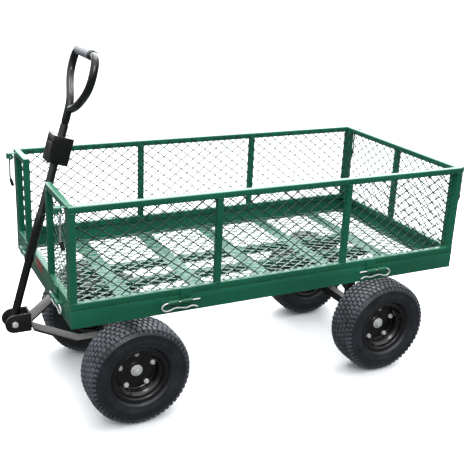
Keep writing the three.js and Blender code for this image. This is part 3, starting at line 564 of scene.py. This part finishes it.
def buildExpandedSheet(node, name, body, weave, normalAxis, material):
    low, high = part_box(node)
    size = high - low
    spans = {"x": (size.y, size.z), "y": (size.x, size.z), "z": (size.x, size.y)}
    turns = {"x": (math.pi / 2, 0, math.pi / 2), "y": (math.pi / 2, 0, 0), "z": (0, 0, 0)}
    across, along = spans[normalAxis]
    clearSelection()
    bpy.ops.mesh.primitive_circle_add(vertices=4, radius=1, fill_type="NGON", location=(0, 0, 0))
    sheet = bpy.context.active_object
    sheet.scale = (weave["wide"] / 2, weave["tall"] / 2, 1)
    settle(sheet)
    pickAll(sheet)
    bpy.ops.mesh.select_mode(type="FACE")
    bpy.ops.mesh.inset(thickness=weave["strand"] / 2, depth=0)
    bpy.ops.mesh.delete(type="ONLY_FACE")
    backOut()
    inner = weave["tall"] / 2 * sheetShape["lip"]
    lipFrom, onAxis = sheetShape["lipFrom"], sheetShape["onAxis"]
    for side in (1, -1):  # the opening's upper lip leans out and its lower lip leans in
        pick(sheet, points=lambda co: lipFrom < co.y * side < inner and abs(co.x) < onAxis)
        bpy.ops.transform.translate(value=(0, 0, side * weave["slant"]))
        backOut()
    pickAll(sheet)
    bpy.ops.mesh.duplicate()
    bpy.ops.transform.translate(value=(weave["wide"] / 2, weave["tall"] / 2, 0))
    backOut()
    columns = math.ceil(across / weave["wide"]) + sheetShape["spare"]
    rows = math.ceil(along / weave["tall"]) + sheetShape["spare"]
    for count, offset in ((columns, (weave["wide"], 0, 0)), (rows, (0, weave["tall"], 0))):
        applyModifier(sheet, "ARRAY", count=count, use_relative_offset=False, use_constant_offset=True,
                      constant_offset_displace=offset)
    sheet.location = (-columns * weave["wide"] / 2, -rows * weave["tall"] / 2, 0)
    settle(sheet)
    mergePoints(sheet, sheetShape["weld"])
    for side, normal in ((across, (1, 0, 0)), (across, (-1, 0, 0)), (along, (0, 1, 0)), (along, (0, -1, 0))):
        pickAll(sheet)
        edge = Vector(normal) * (side / 2 - sheetShape["trim"])
        bpy.ops.mesh.bisect(plane_co=edge, plane_no=normal, clear_outer=True)
        backOut()
    applyModifier(sheet, "SOLIDIFY", thickness=weave["thick"], offset=0)
    sheet.rotation_euler = turns[normalAxis]
    sheet.location = (low + high) / 2
    settle(sheet)
    finishPiece(sheet, name, body, "mesh_paint", material, [node])


print("garden cart: stretching the mesh sheets")
for wall, normalAxis in (("left", "y"), ("right", "y"), ("rear", "x")):
    buildExpandedSheet(f"{wall}_panel_mesh", f"{wall}PanelMesh", f"{wall}_panel", panelWeave, normalAxis,
                       meshPaint)
for side in ("left", "right"):
    buildExpandedSheet(f"front_panel_mesh_{side}", f"frontPanelMesh_{side}", "front_panel", panelWeave, "x",
                       meshPaint)
buildExpandedSheet("deck_mesh", "deckMesh", "bed", deckWeave, "z", deckPaint)


# panel frames: square tubes butted and welded, hinge lugs with their sleeves, and the latch hooks
panelShape = {
    "tube": 0.019, "round": 0.0022, "seat": 0.0012,
    "meshLap": 0.003,  # the tubes start this far beyond the mesh
    "postLap": 0.0003,  # the posts run this far into the rails
    "sideWall": 0.34, "endWall": 0.672, "endReach": 0.319,  # from the bed's middle
    "sidePosts": (-0.6625, -0.224, 0.224, 0.6625), "rearPosts": (-0.3095, 0.0, 0.3095),
    "frontPosts": (-0.3095, -0.1945, 0.0945, 0.3095), "gap": (-0.185, 0.085),
    "sideHinge": 0.35, "endHinge": 0.207,
}
beadShape = {
    "radius": 0.0015, "proud": 0.0001, "lugOut": 0.0012,
    "postRun": 0.86, "lugRun": 0.9, "lugLow": 0.2,  # shares of the tube, the lug and the bottom rail
}
hingeShape = {
    "out": 0.0095, "height": 0.42, "radius": 0.0066, "bore": 0.0029, "run": (0.0035, 0.0375),
    "plate": (0.0008, 0.0038), "round": 0.0008, "chamfer": 0.0006, "dip": 0.0004,
}
latchShape = {
    "out": 0.018, "height": 0.7205, "ring": 0.0095, "bore": 0.0042, "from": 0.296, "to": 0.314,
    "strap": 0.003, "root": 0.009, "reach": 0.03, "top": 0.7325, "lip": 0.7135, "lipLap": 0.0005,
    "round": 0.0007,
}


def buildBox(low, high):
    clearSelection()
    centre = (Vector(low) + Vector(high)) / 2
    bpy.ops.mesh.primitive_cube_add(size=1, location=centre)
    box = bpy.context.active_object
    box.scale = [abs(b - a) for a, b in zip(low, high)]
    settle(box)
    faceOutwards(box)
    return box


def buildTube(low, high, axis, rounding):
    tube = buildBox(low, high)
    pick(tube, edges=lambda a, b: abs((b - a).normalized()[axis]) > facing["roughly"])
    bpy.ops.mesh.bevel(offset=rounding, segments=3, affect="EDGES")
    backOut()
    return tube


def buildBead(place, long, axis):
    clearSelection()
    bpy.ops.mesh.primitive_uv_sphere_add(segments=8, ring_count=6, radius=1, location=place)
    bead = bpy.context.active_object
    reach = [beadShape["radius"]] * 3
    reach[axis] = long / 2
    bead.scale = reach
    settle(bead)
    return bead


def buildSleeve(middle, long, axis, outside, bore):
    clearSelection()
    turn = (math.pi / 2, 0, 0) if axis == 1 else (0, math.pi / 2, 0)
    bpy.ops.mesh.primitive_cylinder_add(vertices=24, radius=outside, depth=long, location=(0, 0, 0))
    sleeve = bpy.context.active_object
    chamfer = hingeShape["chamfer"]
    pick(sleeve, faces=lambda centre, normal: abs(normal.z) > facing["roughly"])
    bpy.ops.mesh.inset(thickness=chamfer, depth=hingeShape["dip"], use_individual=True)
    bpy.ops.mesh.inset(thickness=outside - bore - chamfer, depth=0, use_individual=True)
    bpy.ops.mesh.bridge_edge_loops()
    backOut()
    sleeve.rotation_euler = turn
    sleeve.location = middle
    settle(sleeve)
    return sleeve


def buildFrame(wallName, sign, posts, gap=None):
    node = f"{wallName}_panel_frame"
    onSide = wallName in ("left", "right")
    run, through = (0, 1) if onSide else (1, 0)  # a side wall runs along X, an end wall along Y
    low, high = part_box(node)
    meshLow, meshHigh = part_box("rear_panel_mesh")
    deckLow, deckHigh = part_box("deck_mesh")
    foot = meshLow.z - panelShape["meshLap"]
    head = meshHigh.z + panelShape["meshLap"]
    centre = (deckLow + deckHigh) / 2
    tube = panelShape["tube"]
    outer = centre[through] + sign * panelShape["sideWall" if onSide else "endWall"]
    near, far = sorted((outer, outer - sign * tube))
    middle = centre[run] if onSide else 0
    first, last = (low[run], high[run]) if onSide else (-panelShape["endReach"], panelShape["endReach"])

    def spot(along, across, level):
        place = [0, 0, level]
        place[run], place[through] = along, across
        return place

    def span(start, end, bottom, top, axis):
        return buildTube(spot(start, near, bottom), spot(end, far, top), axis, panelShape["round"])

    pieces = [span(first, last, foot - panelShape["seat"], foot + tube, run)]
    tops = [(first, gap[0]), (gap[1], last)] if gap else [(first, last)]
    for start, end in tops:
        pieces.append(span(start, end, head - tube, head, run))
    lap, proud = panelShape["postLap"], beadShape["proud"]
    for post in posts:
        at = middle + post
        pieces.append(span(at - tube / 2, at + tube / 2, foot + tube - lap, head - tube + lap, 2))
        for level in (foot + tube, head - tube):
            for face in (near - proud, far + proud):
                pieces.append(buildBead(spot(at, face, level), tube * beadShape["postRun"], run))
    hinge = panelShape["sideHinge" if onSide else "endHinge"]
    height = hingeShape["height"]
    inner, tip = (outer + sign * depth for depth in hingeShape["plate"])
    for side in (1, -1):
        start, end = (middle + side * (hinge - reach) for reach in reversed(hingeShape["run"]))
        lugMiddle, long = (start + end) / 2, abs(end - start)
        plate = buildBox(spot(start, inner, height), spot(end, tip, foot + tube))
        applyModifier(plate, "BEVEL", width=hingeShape["round"], segments=2)
        sleevePlace = spot(lugMiddle, outer + sign * hingeShape["out"], height)
        pieces += [plate, buildSleeve(sleevePlace, long, run, hingeShape["radius"], hingeShape["bore"])]
        for level in (foot + tube, foot + tube * beadShape["lugLow"]):
            beadPlace = spot(lugMiddle, outer + sign * beadShape["lugOut"], level)
            pieces.append(buildBead(beadPlace, long * beadShape["lugRun"], run))
    if not onSide:
        pieces += buildLatchHooks(outer, sign)
    frameShell = joinPieces(pieces)
    smoothBy(frameShell, 32)
    finishPiece(frameShell, f"{wallName}PanelFrame", f"{wallName}_panel", "green_paint", greenPaint, [node])


def buildLatchHooks(outer, sign):
    pieces = []
    for side in (1, -1):
        near, far = (side * latchShape[key] for key in ("from", "to"))
        place = (outer + sign * latchShape["out"], (near + far) / 2, latchShape["height"])
        pieces.append(buildSleeve(place, abs(far - near), 1, latchShape["ring"], latchShape["bore"]))
        reach = outer + sign * latchShape["reach"]
        root = outer - sign * latchShape["root"]
        thick, top = latchShape["strap"], latchShape["top"]
        strap = buildBox((root, near, top - thick), (reach, far, top))
        lip = buildBox((reach - sign * thick, near, latchShape["lip"]),
                       (reach, far, top - latchShape["lipLap"]))
        for piece in (strap, lip):
            applyModifier(piece, "BEVEL", width=latchShape["round"], segments=2)
            pieces.append(piece)
    return pieces


print("garden cart: welding the panel frames")
buildFrame("left", 1, panelShape["sidePosts"])
buildFrame("right", -1, panelShape["sidePosts"])
buildFrame("front", 1, panelShape["frontPosts"], panelShape["gap"])
buildFrame("rear", -1, panelShape["rearPosts"])


# refined bodies of the bars, rails, plates and fasteners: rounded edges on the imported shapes
greenSteel = ("green_paint", greenPaint)
underSteel = ("underframe_paint", underPaint)
handleSteel = ("handle_paint", handlePaint)
platedSteel = ("zinc_steel", zincPlate)
rodSteel = ("zinc_steel", rodPlate)
plainParts = [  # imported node, piece, body, finish, rounding
    ("tray", "trayShell", "bed", greenSteel, 0.0011),
    ("chassis_rail_left", "chassisRail_left", "bed", greenSteel, 0.0015),
    ("chassis_rail_right", "chassisRail_right", "bed", greenSteel, 0.0015),
    ("rear_axle_beam", "rearAxleBeam", "bed", underSteel, 0.0015),
    ("rear_axle_rod", "rearAxleRod", "bed", platedSteel, 0.0012),
    ("turntable_upper", "turntableDisc", "bed", underSteel, 0.001),
    ("king_pin", "kingPin", "bed", platedSteel, 0.0008),
    ("turntable_lower", "turntablePlate", "front_axle", underSteel, 0.001),
    ("front_axle_beam", "frontAxleBeam", "front_axle", underSteel, 0.0015),
    ("front_axle_rod", "frontAxleRod", "front_axle", platedSteel, 0.0012),
    ("tongue", "steeringTongue", "front_axle", underSteel, 0.0012),
    ("clevis", "handleClevis", "front_axle", underSteel, 0.0012),
    ("clevis_bolt", "clevisBolt", "front_axle", platedSteel, 0.0006),
    ("handle_shaft", "handleShaft", "handle", handleSteel, 0.0012),
    ("hitch_box", "hitchBox", "handle", handleSteel, 0.0022),
]
repeatedRounding = {"bar": 0.0007, "nut": 0.0007, "bearing": 0.0006}
wireGrowth = {"hairpin": 0.0004, "rod": 0.0003, "loop": 0.0006}  # makes up for what smoothing takes off
cornerPlaces = [f"{end}_{side}" for end in ("front", "rear") for side in ("left", "right")]
hairpinPlaces = ["left_front", "left_rear", "right_front", "right_rear", "front_left", "front_right",
                 "rear_left", "rear_right"]

print("garden cart: rounding the frames, axles and fasteners")
for index in range(1, 6):
    plainParts.append((f"cross_bar_{index}", f"crossBar_{index}", "bed", greenSteel, repeatedRounding["bar"]))
for place in cornerPlaces:
    axleBody = "front_axle" if place.startswith("front") else "bed"
    plainParts.append((f"axle_nut_{place}", f"axleNut_{place}", axleBody, platedSteel, repeatedRounding["nut"]))
    plainParts.append((f"wheel_bearing_{place}", f"wheelBearing_{place}", f"wheel_{place}", platedSteel,
                       repeatedRounding["bearing"]))
for node, name, body, finish, bevel in plainParts:
    finishPiece(refinedCopy(node, bevel), name, body, *finish, [node])

wireParts = [(f"hinge_pin_{place}", f"hairpin_{place}", "bed", platedSteel, wireGrowth["hairpin"])
             for place in hairpinPlaces]
wireParts += [(f"latch_rod_{place}", f"latchRod_{place}", f"latch_{place}", rodSteel, wireGrowth["rod"])
              for place in cornerPlaces]
wireParts.append(("handle_loop", "handleLoop", "handle", handleSteel, wireGrowth["loop"]))
for node, name, body, finish, grow in wireParts:
    finishPiece(roundedCopy(node, grow), name, body, *finish, [node])


# vinyl-dipped tips on the hanging ends of the latch rods
tipShape = {"radius": 0.0054, "long": 0.026, "lean": 15.5, "round": 0.0016, "inset": 0.0012, "dome": 0.0008,
            "inboard": 0.0076, "aside": 0.3205, "lift": 0.0004}


def buildLatchTip(place):
    low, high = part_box(f"latch_rod_{place}")
    sign = 1 if low.x > 0 else -1
    side = 1 if low.y > 0 else -1
    out = sign * (max(abs(low.x), abs(high.x)) - tipShape["inboard"])
    clearSelection()
    bpy.ops.mesh.primitive_cylinder_add(vertices=20, radius=tipShape["radius"], depth=tipShape["long"],
                                        location=(0, 0, 0))
    tip = bpy.context.active_object
    pick(tip, faces=lambda centre, normal: abs(normal.z) > facing["roughly"])
    bpy.ops.mesh.bevel(offset=tipShape["round"], segments=3, affect="EDGES")
    backOut()
    pick(tip, faces=lambda centre, normal: normal.z > facing["squarely"] and centre.z > 0)
    bpy.ops.mesh.inset(thickness=tipShape["inset"], depth=tipShape["dome"])
    backOut()
    tip.rotation_euler = (0, sign * math.radians(tipShape["lean"]), 0)
    tip.location = (out, side * tipShape["aside"], low.z + tipShape["long"] / 2 + tipShape["lift"])
    settle(tip)
    smoothBy(tip, 40)
    finishPiece(tip, f"latchTip_{place}", f"latch_{place}", "grip", blackVinyl)


for place in cornerPlaces:
    buildLatchTip(place)


# turf tyre: a ribbed carcass and rows of tread blocks
tyreShape = {
    "side": [  # radius, along Y, from the bead to the crown
        (0.0805, 0.0395), (0.084, 0.0425), (0.0925, 0.0434), (0.0938, 0.0462), (0.096, 0.05), (0.099, 0.0528),
        (0.1, 0.0546), (0.1022, 0.0546), (0.1032, 0.0548), (0.11, 0.0576), (0.116, 0.0588), (0.1175, 0.0596),
        (0.12, 0.0596), (0.1215, 0.059), (0.13, 0.0588), (0.138, 0.0575), (0.1395, 0.058), (0.142, 0.0574),
        (0.143, 0.0562), (0.149, 0.0532), (0.1535, 0.049), (0.157, 0.042), (0.159, 0.031), (0.1602, 0.016)],
    "steps": 96, "smooth": 32,
}
treadShape = {
    "rows": [(0.0095, 0.1603, 3), (0.0275, 0.1596, 9), (0.0435, 0.1568, 24)],  # along Y, radius, lean
    "count": 58, "wide": 0.0146, "long": 0.0128, "deep": 0.0046, "sunk": 0.0012, "taper": 0.88,
    "shoulder": {"along": 0.0522, "radius": 0.1488, "lean": 62, "wide": 0.012, "long": 0.0085, "deep": 0.0026,
                 "taper": 0.85, "shift": 0.25},
    "rim": 0.09, "crown": 0.06,  # shares of a block's narrow side
}


def buildTreadBlock(shape):
    wide, long, deep, taper = (shape[key] for key in ("wide", "long", "deep", "taper"))
    clearSelection()
    bpy.ops.mesh.primitive_cube_add(size=1, location=(0, 0, 0))
    block = bpy.context.active_object
    block.scale = (long, wide, deep)
    settle(block)
    narrow = min(wide, long)
    pick(block, faces=lambda centre, normal: normal.z > facing["roughly"])
    bpy.ops.transform.resize(value=(taper, taper, 1))
    bpy.ops.mesh.inset(thickness=narrow * treadShape["rim"], depth=narrow * treadShape["crown"])
    backOut()
    pick(block, faces=lambda centre, normal: normal.z < -facing["roughly"])
    bpy.ops.mesh.delete(type="FACE")
    backOut()
    return block


def ringOf(piece, count, start):
    clearSelection()
    bpy.ops.object.empty_add(location=(0, 0, 0))
    guide = bpy.context.active_object
    guide.rotation_euler = (0, 2 * math.pi / count, 0)
    piece.rotation_euler = (0, start, 0)
    settle(piece)
    bpy.context.view_layer.update()
    applyModifier(piece, "ARRAY", count=count, use_relative_offset=False, use_object_offset=True,
                  offset_object=guide)
    bpy.data.objects.remove(guide)
    return piece


def buildTread():
    rings = []
    count = treadShape["count"]
    pitch = 2 * math.pi / count
    lift = treadShape["deep"] / 2 - treadShape["sunk"]
    for row, (along, radius, lean) in enumerate(treadShape["rows"]):
        tilt = math.radians(lean)
        for side in (1, -1):
            block = buildTreadBlock(treadShape)
            block.rotation_euler = (-tilt * side, 0, 0)
            block.location = (0, side * (along + lift * math.sin(tilt)), radius + lift * math.cos(tilt))
            settle(block)
            shift = pitch / 2 if (row + (side > 0)) % 2 else 0  # neighbouring rows are half a block apart
            rings.append(ringOf(block, count, shift))
    edge = treadShape["shoulder"]
    for side in (1, -1):
        block = buildTreadBlock(edge)
        block.rotation_euler = (-math.radians(edge["lean"]) * side, 0, 0)
        block.location = (0, side * edge["along"], edge["radius"])
        settle(block)
        rings.append(ringOf(block, count, pitch * edge["shift"]))
    return joinPieces(rings)


def buildCarcass():
    side = tyreShape["side"]
    profile = side + [(radius, -along) for radius, along in reversed(side)]
    carcass = spunFrom(profile, tyreShape["steps"])
    smoothBy(carcass, tyreShape["smooth"])
    return carcass


# pressed steel rim: rolled lips, drop well, dished disc with a raised ring
rimShape = {
    "profile": [(0.0144, 0.005), (0.0235, 0.005), (0.0245, 0.0062), (0.0275, 0.0062), (0.029, 0.0048),
                (0.04, 0.0038), (0.0612, 0.0038), (0.0626, 0.005), (0.0638, 0.005), (0.0648, 0.0028),
                (0.0656, 0.0034), (0.066, 0.0068), (0.0662, 0.018), (0.0672, 0.0225), (0.0752, 0.029),
                (0.077, 0.032), (0.0775, 0.0405), (0.0795, 0.0438), (0.083, 0.0455), (0.0875, 0.0464),
                (0.0902, 0.047), (0.0918, 0.0462), (0.0919, 0.0446), (0.0905, 0.0434), (0.0875, 0.0438),
                (0.0845, 0.0428), (0.0815, 0.041), (0.08, 0.0385), (0.0796, 0.031), (0.072, 0.0245),
                (0.0685, 0.0195), (0.0685, -0.0195), (0.072, -0.0245), (0.0796, -0.031), (0.08, -0.0385),
                (0.0815, -0.041), (0.0845, -0.0428), (0.0875, -0.0438), (0.0905, -0.0434), (0.0919, -0.0446),
                (0.0918, -0.0462), (0.0902, -0.047), (0.0875, -0.0464), (0.083, -0.0455), (0.0795, -0.0438),
                (0.0775, -0.0405), (0.077, -0.032), (0.0752, -0.029), (0.067, -0.0225), (0.066, -0.018),
                (0.0656, -0.003), (0.0642, 0.0002), (0.028, 0.0002), (0.026, -0.0015),
                (0.0258, -0.0495), (0.0243, -0.051), (0.0144, -0.051)],
    "steps": 80, "smooth": 34,
}
boltShape = {
    "circle": 0.056, "count": 5, "head": 0.0072, "high": 0.0052, "raised": 0.0012, "face": 0.0038,
    "washer": 0.0082, "washerHigh": 0.0013, "washerEdge": (0.0007, 0.0003),
    "steps": [(0.0009, 0.0007), (0.0022, 0), (0.0004, -0.0005)],  # insets of the head: inward, outward
}
valveShape = {
    "radius": 0.0038, "long": 0.024, "at": 0.0665, "sunk": 0.001, "lean": 0.22, "turn": 158,
    "neck": (0.0008, 0.001), "step": 0.004, "flare": 1.5, "cap": 0.008, "capEdge": (0.0009, 0.0008),
    "foot": 1.6,
}


def buildBoltHead():
    clearSelection()
    bpy.ops.mesh.primitive_cylinder_add(vertices=6, radius=boltShape["head"], depth=boltShape["high"],
                                        location=(0, 0, boltShape["high"] / 2 + boltShape["raised"]))
    head = bpy.context.active_object
    settle(head)
    pick(head, faces=lambda centre, normal: normal.z > facing["roughly"])
    for inward, outward in boltShape["steps"]:
        bpy.ops.mesh.inset(thickness=inward, depth=outward)
    backOut()
    clearSelection()
    high = boltShape["washerHigh"]
    bpy.ops.mesh.primitive_cylinder_add(vertices=24, radius=boltShape["washer"], depth=high,
                                        location=(0, 0, high / 2))
    washer = bpy.context.active_object
    settle(washer)
    pick(washer, faces=lambda centre, normal: normal.z > facing["roughly"])
    inward, outward = boltShape["washerEdge"]
    bpy.ops.mesh.inset(thickness=inward, depth=outward)
    backOut()
    head = joinPieces([head, washer])
    head.rotation_euler = (-math.pi / 2, 0, 0)
    head.location = (0, boltShape["face"], boltShape["circle"])
    settle(head)
    smoothBy(head, 25)
    return head


def buildValve():
    clearSelection()
    bpy.ops.mesh.primitive_cylinder_add(vertices=20, radius=valveShape["radius"], depth=valveShape["long"],
                                        location=(0, 0, valveShape["long"] / 2))
    stem = bpy.context.active_object
    settle(stem)
    flare, foot = valveShape["flare"], valveShape["foot"]
    pick(stem, faces=lambda centre, normal: normal.z > facing["roughly"])
    bpy.ops.mesh.inset(thickness=valveShape["neck"][0], depth=valveShape["neck"][1])
    bpy.ops.mesh.extrude_region_move(TRANSFORM_OT_translate={"value": (0, 0, valveShape["step"])})
    bpy.ops.transform.resize(value=(flare, flare, 1))
    bpy.ops.mesh.extrude_region_move(TRANSFORM_OT_translate={"value": (0, 0, valveShape["cap"])})
    bpy.ops.mesh.inset(thickness=valveShape["capEdge"][0], depth=valveShape["capEdge"][1])
    backOut()
    pick(stem, faces=lambda centre, normal: normal.z < -facing["roughly"])
    bpy.ops.transform.resize(value=(foot, foot, 1))
    backOut()
    stem.rotation_euler = (valveShape["lean"] - math.pi / 2, 0, 0)
    stem.location = (0, -valveShape["sunk"], valveShape["at"])
    settle(stem)
    stem.rotation_euler = (0, math.radians(valveShape["turn"]), 0)
    settle(stem)
    smoothBy(stem, 35)
    return stem


print("garden cart: moulding the tyres and pressing the rims")
carcass = buildCarcass()
tread = buildTread()
rim = spunFrom(rimShape["profile"], rimShape["steps"])
smoothBy(rim, rimShape["smooth"])
bolts = ringOf(buildBoltHead(), boltShape["count"], 0)
valve = buildValve()
wheelKit = [
    (carcass, "tyreCarcass", "tyre_rubber", tyreRubber, "tyre"),
    (tread, "tyreTread", "tyre_rubber", treadRubber, None),
    (rim, "wheelRim", "rim_paint", rimPaint, "rim"),
    (bolts, "wheelBolts", "zinc_steel", zincPlate, None),
    (valve, "valveStem", "rim_paint", blackVinyl, None),
]
wheelTurns = {"front_left": 0.0, "front_right": 1.1, "rear_left": 0.0, "rear_right": 2.3}  # radians
for place, turn in wheelTurns.items():
    low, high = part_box(f"tyre_{place}")
    for pattern, name, slotName, material, node in wheelKit:
        piece = copyPiece(pattern, f"{name}_{place}")
        piece.rotation_euler = (0, turn, 0)
        settle(piece)
        piece.rotation_euler = (0, 0, math.pi if place.endswith("right") else 0)
        piece.location = (low + high) / 2
        settle(piece)
        finishPiece(piece, f"{name}_{place}", f"wheel_{place}", slotName, material,
                    [f"{node}_{place}"] if node else ())
for pattern in (carcass, tread, rim, bolts, valve):
    bpy.data.objects.remove(pattern)


# hand grip: a soft sleeve with rounded ends, shallow finger ribs and a black collar
gripShape = {
    "wall": 0.0155, "bore": 0.0121, "ribs": 9, "dip": 0.0005, "smooth": 40, "steps": 40,
    "softEnd": 0.002, "firstRib": 0.004, "unribbed": 0.006, "gap": 0.0004, "lastStep": 0.0006,
    "collar": 0.017,
    # from the wall's radius, and from the collar's inner or outer end
    "collarSide": [(-0.0002, 0), (0, 0.001), (0, 0.005), (-0.0008, 0.0058)],
    "collarEnd": [(-0.0008, -0.003), (-0.002, -0.0006), (-0.0028, 0)],
}


def buildGripRing(outline, name, material, nodes=()):
    low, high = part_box("hand_grip")
    ring = spunFrom(outline, gripShape["steps"])
    ring.location = (low + high) / 2
    settle(ring)
    smoothBy(ring, gripShape["smooth"])
    finishPiece(ring, name, "handle", "grip", material, nodes)


def buildGrip():
    low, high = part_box("hand_grip")
    long = high.y - low.y
    half = long / 2
    wall, bore, collar = gripShape["wall"], gripShape["bore"], gripShape["collar"]
    softEnd = gripShape["softEnd"]
    points = gripShape["ribs"] * 4
    ribbed = long - collar - gripShape["unribbed"]
    outside = [(bore, -half), (wall - softEnd, -half), (wall, -half + softEnd)]
    for point in range(points + 1):
        along = -half + gripShape["firstRib"] + ribbed * point / points
        dip = gripShape["dip"] * (1 if point % 4 == 2 else 0.5 if point % 2 else 0)  # four points to a rib
        outside.append((wall - dip, along))
    sleeveEnd = half - collar - gripShape["gap"]
    outside += [(wall - gripShape["lastStep"], sleeveEnd), (bore, sleeveEnd)]
    buildGripRing(outside, "gripSleeve", gripVinyl, ["hand_grip"])
    edge = half - collar
    outline = [(bore, edge)]
    outline += [(wall + rise, edge + along) for rise, along in gripShape["collarSide"]]
    outline += [(wall + rise, half + along) for rise, along in gripShape["collarEnd"]]
    buildGripRing(outline + [(bore, half)], "gripCollar", blackVinyl)


buildGrip()


# a plain red patch in two halves, one on the tray's front wall and one on the front panel's lower rail
patchShape = {
    "from": -0.057, "to": 0.015, "thick": 0.0005, "corner": 0.002, "edge": 0.0006, "dome": 0.0001,
    "wall": 0.0029,  # its back, outside the deck's front edge
    "seam": 0.0045,  # the tray's rim, below the end panels' mesh
    "low": (-0.014, -0.0006), "high": (0.0035, 0.0175),  # bottom and top of each half, from the rim
}


def buildPatch(name, body, half):
    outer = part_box("deck_mesh")[1].x + patchShape["wall"]
    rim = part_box("rear_panel_mesh")[0].z - patchShape["seam"]
    low, high = (rim + reach for reach in patchShape[half])
    clearSelection()
    bpy.ops.mesh.primitive_plane_add(size=1, location=(0, 0, 0))
    patch = bpy.context.active_object
    patch.scale = (high - low, patchShape["to"] - patchShape["from"], 1)
    settle(patch)
    pickAll(patch)
    bpy.ops.mesh.bevel(offset=patchShape["corner"], segments=3, affect="VERTICES")
    bpy.ops.mesh.select_mode(type="FACE")
    bpy.ops.mesh.select_all(action="SELECT")
    bpy.ops.mesh.inset(thickness=patchShape["edge"], depth=patchShape["dome"])
    backOut()
    applyModifier(patch, "SOLIDIFY", thickness=patchShape["thick"], offset=1)
    patch.rotation_euler = (0, math.pi / 2, 0)
    patch.location = (outer, (patchShape["from"] + patchShape["to"]) / 2, (low + high) / 2)
    settle(patch)
    finishPiece(patch, name, body, "green_paint", patchPaint)


buildPatch("plainPatchLow", "bed", "low")
buildPatch("plainPatchHigh", "front_panel", "high")

print("garden cart: floor, lights and camera")
studio = {
    "floor": (0.95, 0.95, 0.95, 1), "overhead": (1.5, 1.55, 1.62, 1), "horizon": (0.17, 0.175, 0.18, 1),
    "glow": (4.2, 4.4, 4.5, 1), "glowFrom": (-0.45, -0.86, 0.24), "seen": (1.0, 1.0, 1.0, 1),
    "floorSize": 60, "floorRough": 0.95, "domeFrom": -0.15, "domeTo": 1.4,
    "glowEdge": 0.45, "glowSlope": 2.2, "glowRise": 14.0,
    "lamps": [  # name, place, aim, size, power
        ("overhead", (-0.3, -0.4, 3.6), (0, 0, 0.3), 3.2, 150),
        ("frontSoft", (1.0, 3.6, 3.2), (0, 0, 0.3), 1.2, 45),
    ],
}
clearSelection()
bpy.ops.mesh.primitive_plane_add(size=studio["floorSize"], location=(0, 0, 0))
floor = bpy.context.active_object
floor.name = "studioFloor"
floorPaint = startFinish("studioFloorPaint")[0]
floorShader = floorPaint.node_tree.nodes["Principled BSDF"]
floorShader.inputs["Roughness"].default_value = studio["floorRough"]
floorShader.inputs["Specular IOR Level"].default_value = 0.0
floorShader.inputs["Base Color"].default_value = studio["floor"]
floor.data.materials.append(floorPaint)
floor.visible_glossy = False
floor.visible_diffuse = False

world = bpy.data.worlds.new("studioSky")
bpy.context.scene.world = world
world.use_nodes = True
sky = world.node_tree
background = sky.nodes["Background"]
skyPlace = addNode(sky, "ShaderNodeTexCoord", (-1200, 0))
skyParts = addNode(sky, "ShaderNodeSeparateXYZ", (-1000, 100))
sky.links.new(skyPlace.outputs["Generated"], skyParts.inputs[0])
height = spread(sky, (-800, 100), skyParts.outputs["Z"], studio["domeFrom"], studio["domeTo"])
dome = addMix(sky, (-600, 100), height, studio["horizon"], studio["overhead"])
farSide = addNode(sky, "ShaderNodeVectorMath", (-1000, -200), {"operation": "DOT_PRODUCT"})
farSide.inputs[1].default_value = studio["glowFrom"]
sky.links.new(skyPlace.outputs["Generated"], farSide.inputs[0])
glow = addMath(sky, "SUBTRACT", (-800, -200), farSide.outputs["Value"], studio["glowEdge"])
glow = addMath(sky, "MULTIPLY", (-650, -200), glow, studio["glowSlope"], True)
rising = addMath(sky, "MULTIPLY", (-800, -400), skyParts.outputs["Z"], studio["glowRise"], True)
glow = addMath(sky, "MULTIPLY", (-500, -250), glow, rising, True)
lit = addMix(sky, (-350, 50), glow, dome, studio["glow"])
rays = addNode(sky, "ShaderNodeLightPath", (-600, 400))
sky.links.new(addMix(sky, (-150, 100), rays.outputs["Is Camera Ray"], lit, studio["seen"]),
              background.inputs["Color"])

for name, place, aim, size, power in studio["lamps"]:
    clearSelection()
    bpy.ops.object.light_add(type="AREA", location=place)
    lamp = bpy.context.active_object
    lamp.name = name
    lamp.data.size = size
    lamp.data.energy = power
    lamp.rotation_euler = (Vector(aim) - Vector(place)).to_track_quat("-Z", "Y").to_euler()
    lamp.visible_camera = False

viewpoint = {
    "place": (1.154, 2.328, 1.408), "azimuth": 152.99, "elevation": 19.55, "roll": 2.55, "lens": 61.7,
    "shift": (0.0079, -0.0077), "sensor": 36,
}
clearSelection()
bpy.ops.object.camera_add(location=viewpoint["place"])
camera = bpy.context.active_object
turn, rise, roll = (math.radians(viewpoint[key]) for key in ("azimuth", "elevation", "roll"))
back = Vector((math.sin(turn) * math.cos(rise), -math.cos(turn) * math.cos(rise), math.sin(rise)))
right = Vector((0, 0, 1)).cross(back).normalized()
up = back.cross(right)
across = right * math.cos(roll) + up * math.sin(roll)
upright = up * math.cos(roll) - right * math.sin(roll)
camera.rotation_euler = Matrix((across, upright, back)).transposed().to_euler()
camera.data.lens = viewpoint["lens"]
camera.data.sensor_width = viewpoint["sensor"]
camera.data.shift_x, camera.data.shift_y = viewpoint["shift"]
bpy.context.scene.camera = camera
bpy.context.scene.view_settings.view_transform = "Standard"

print("garden cart: done")
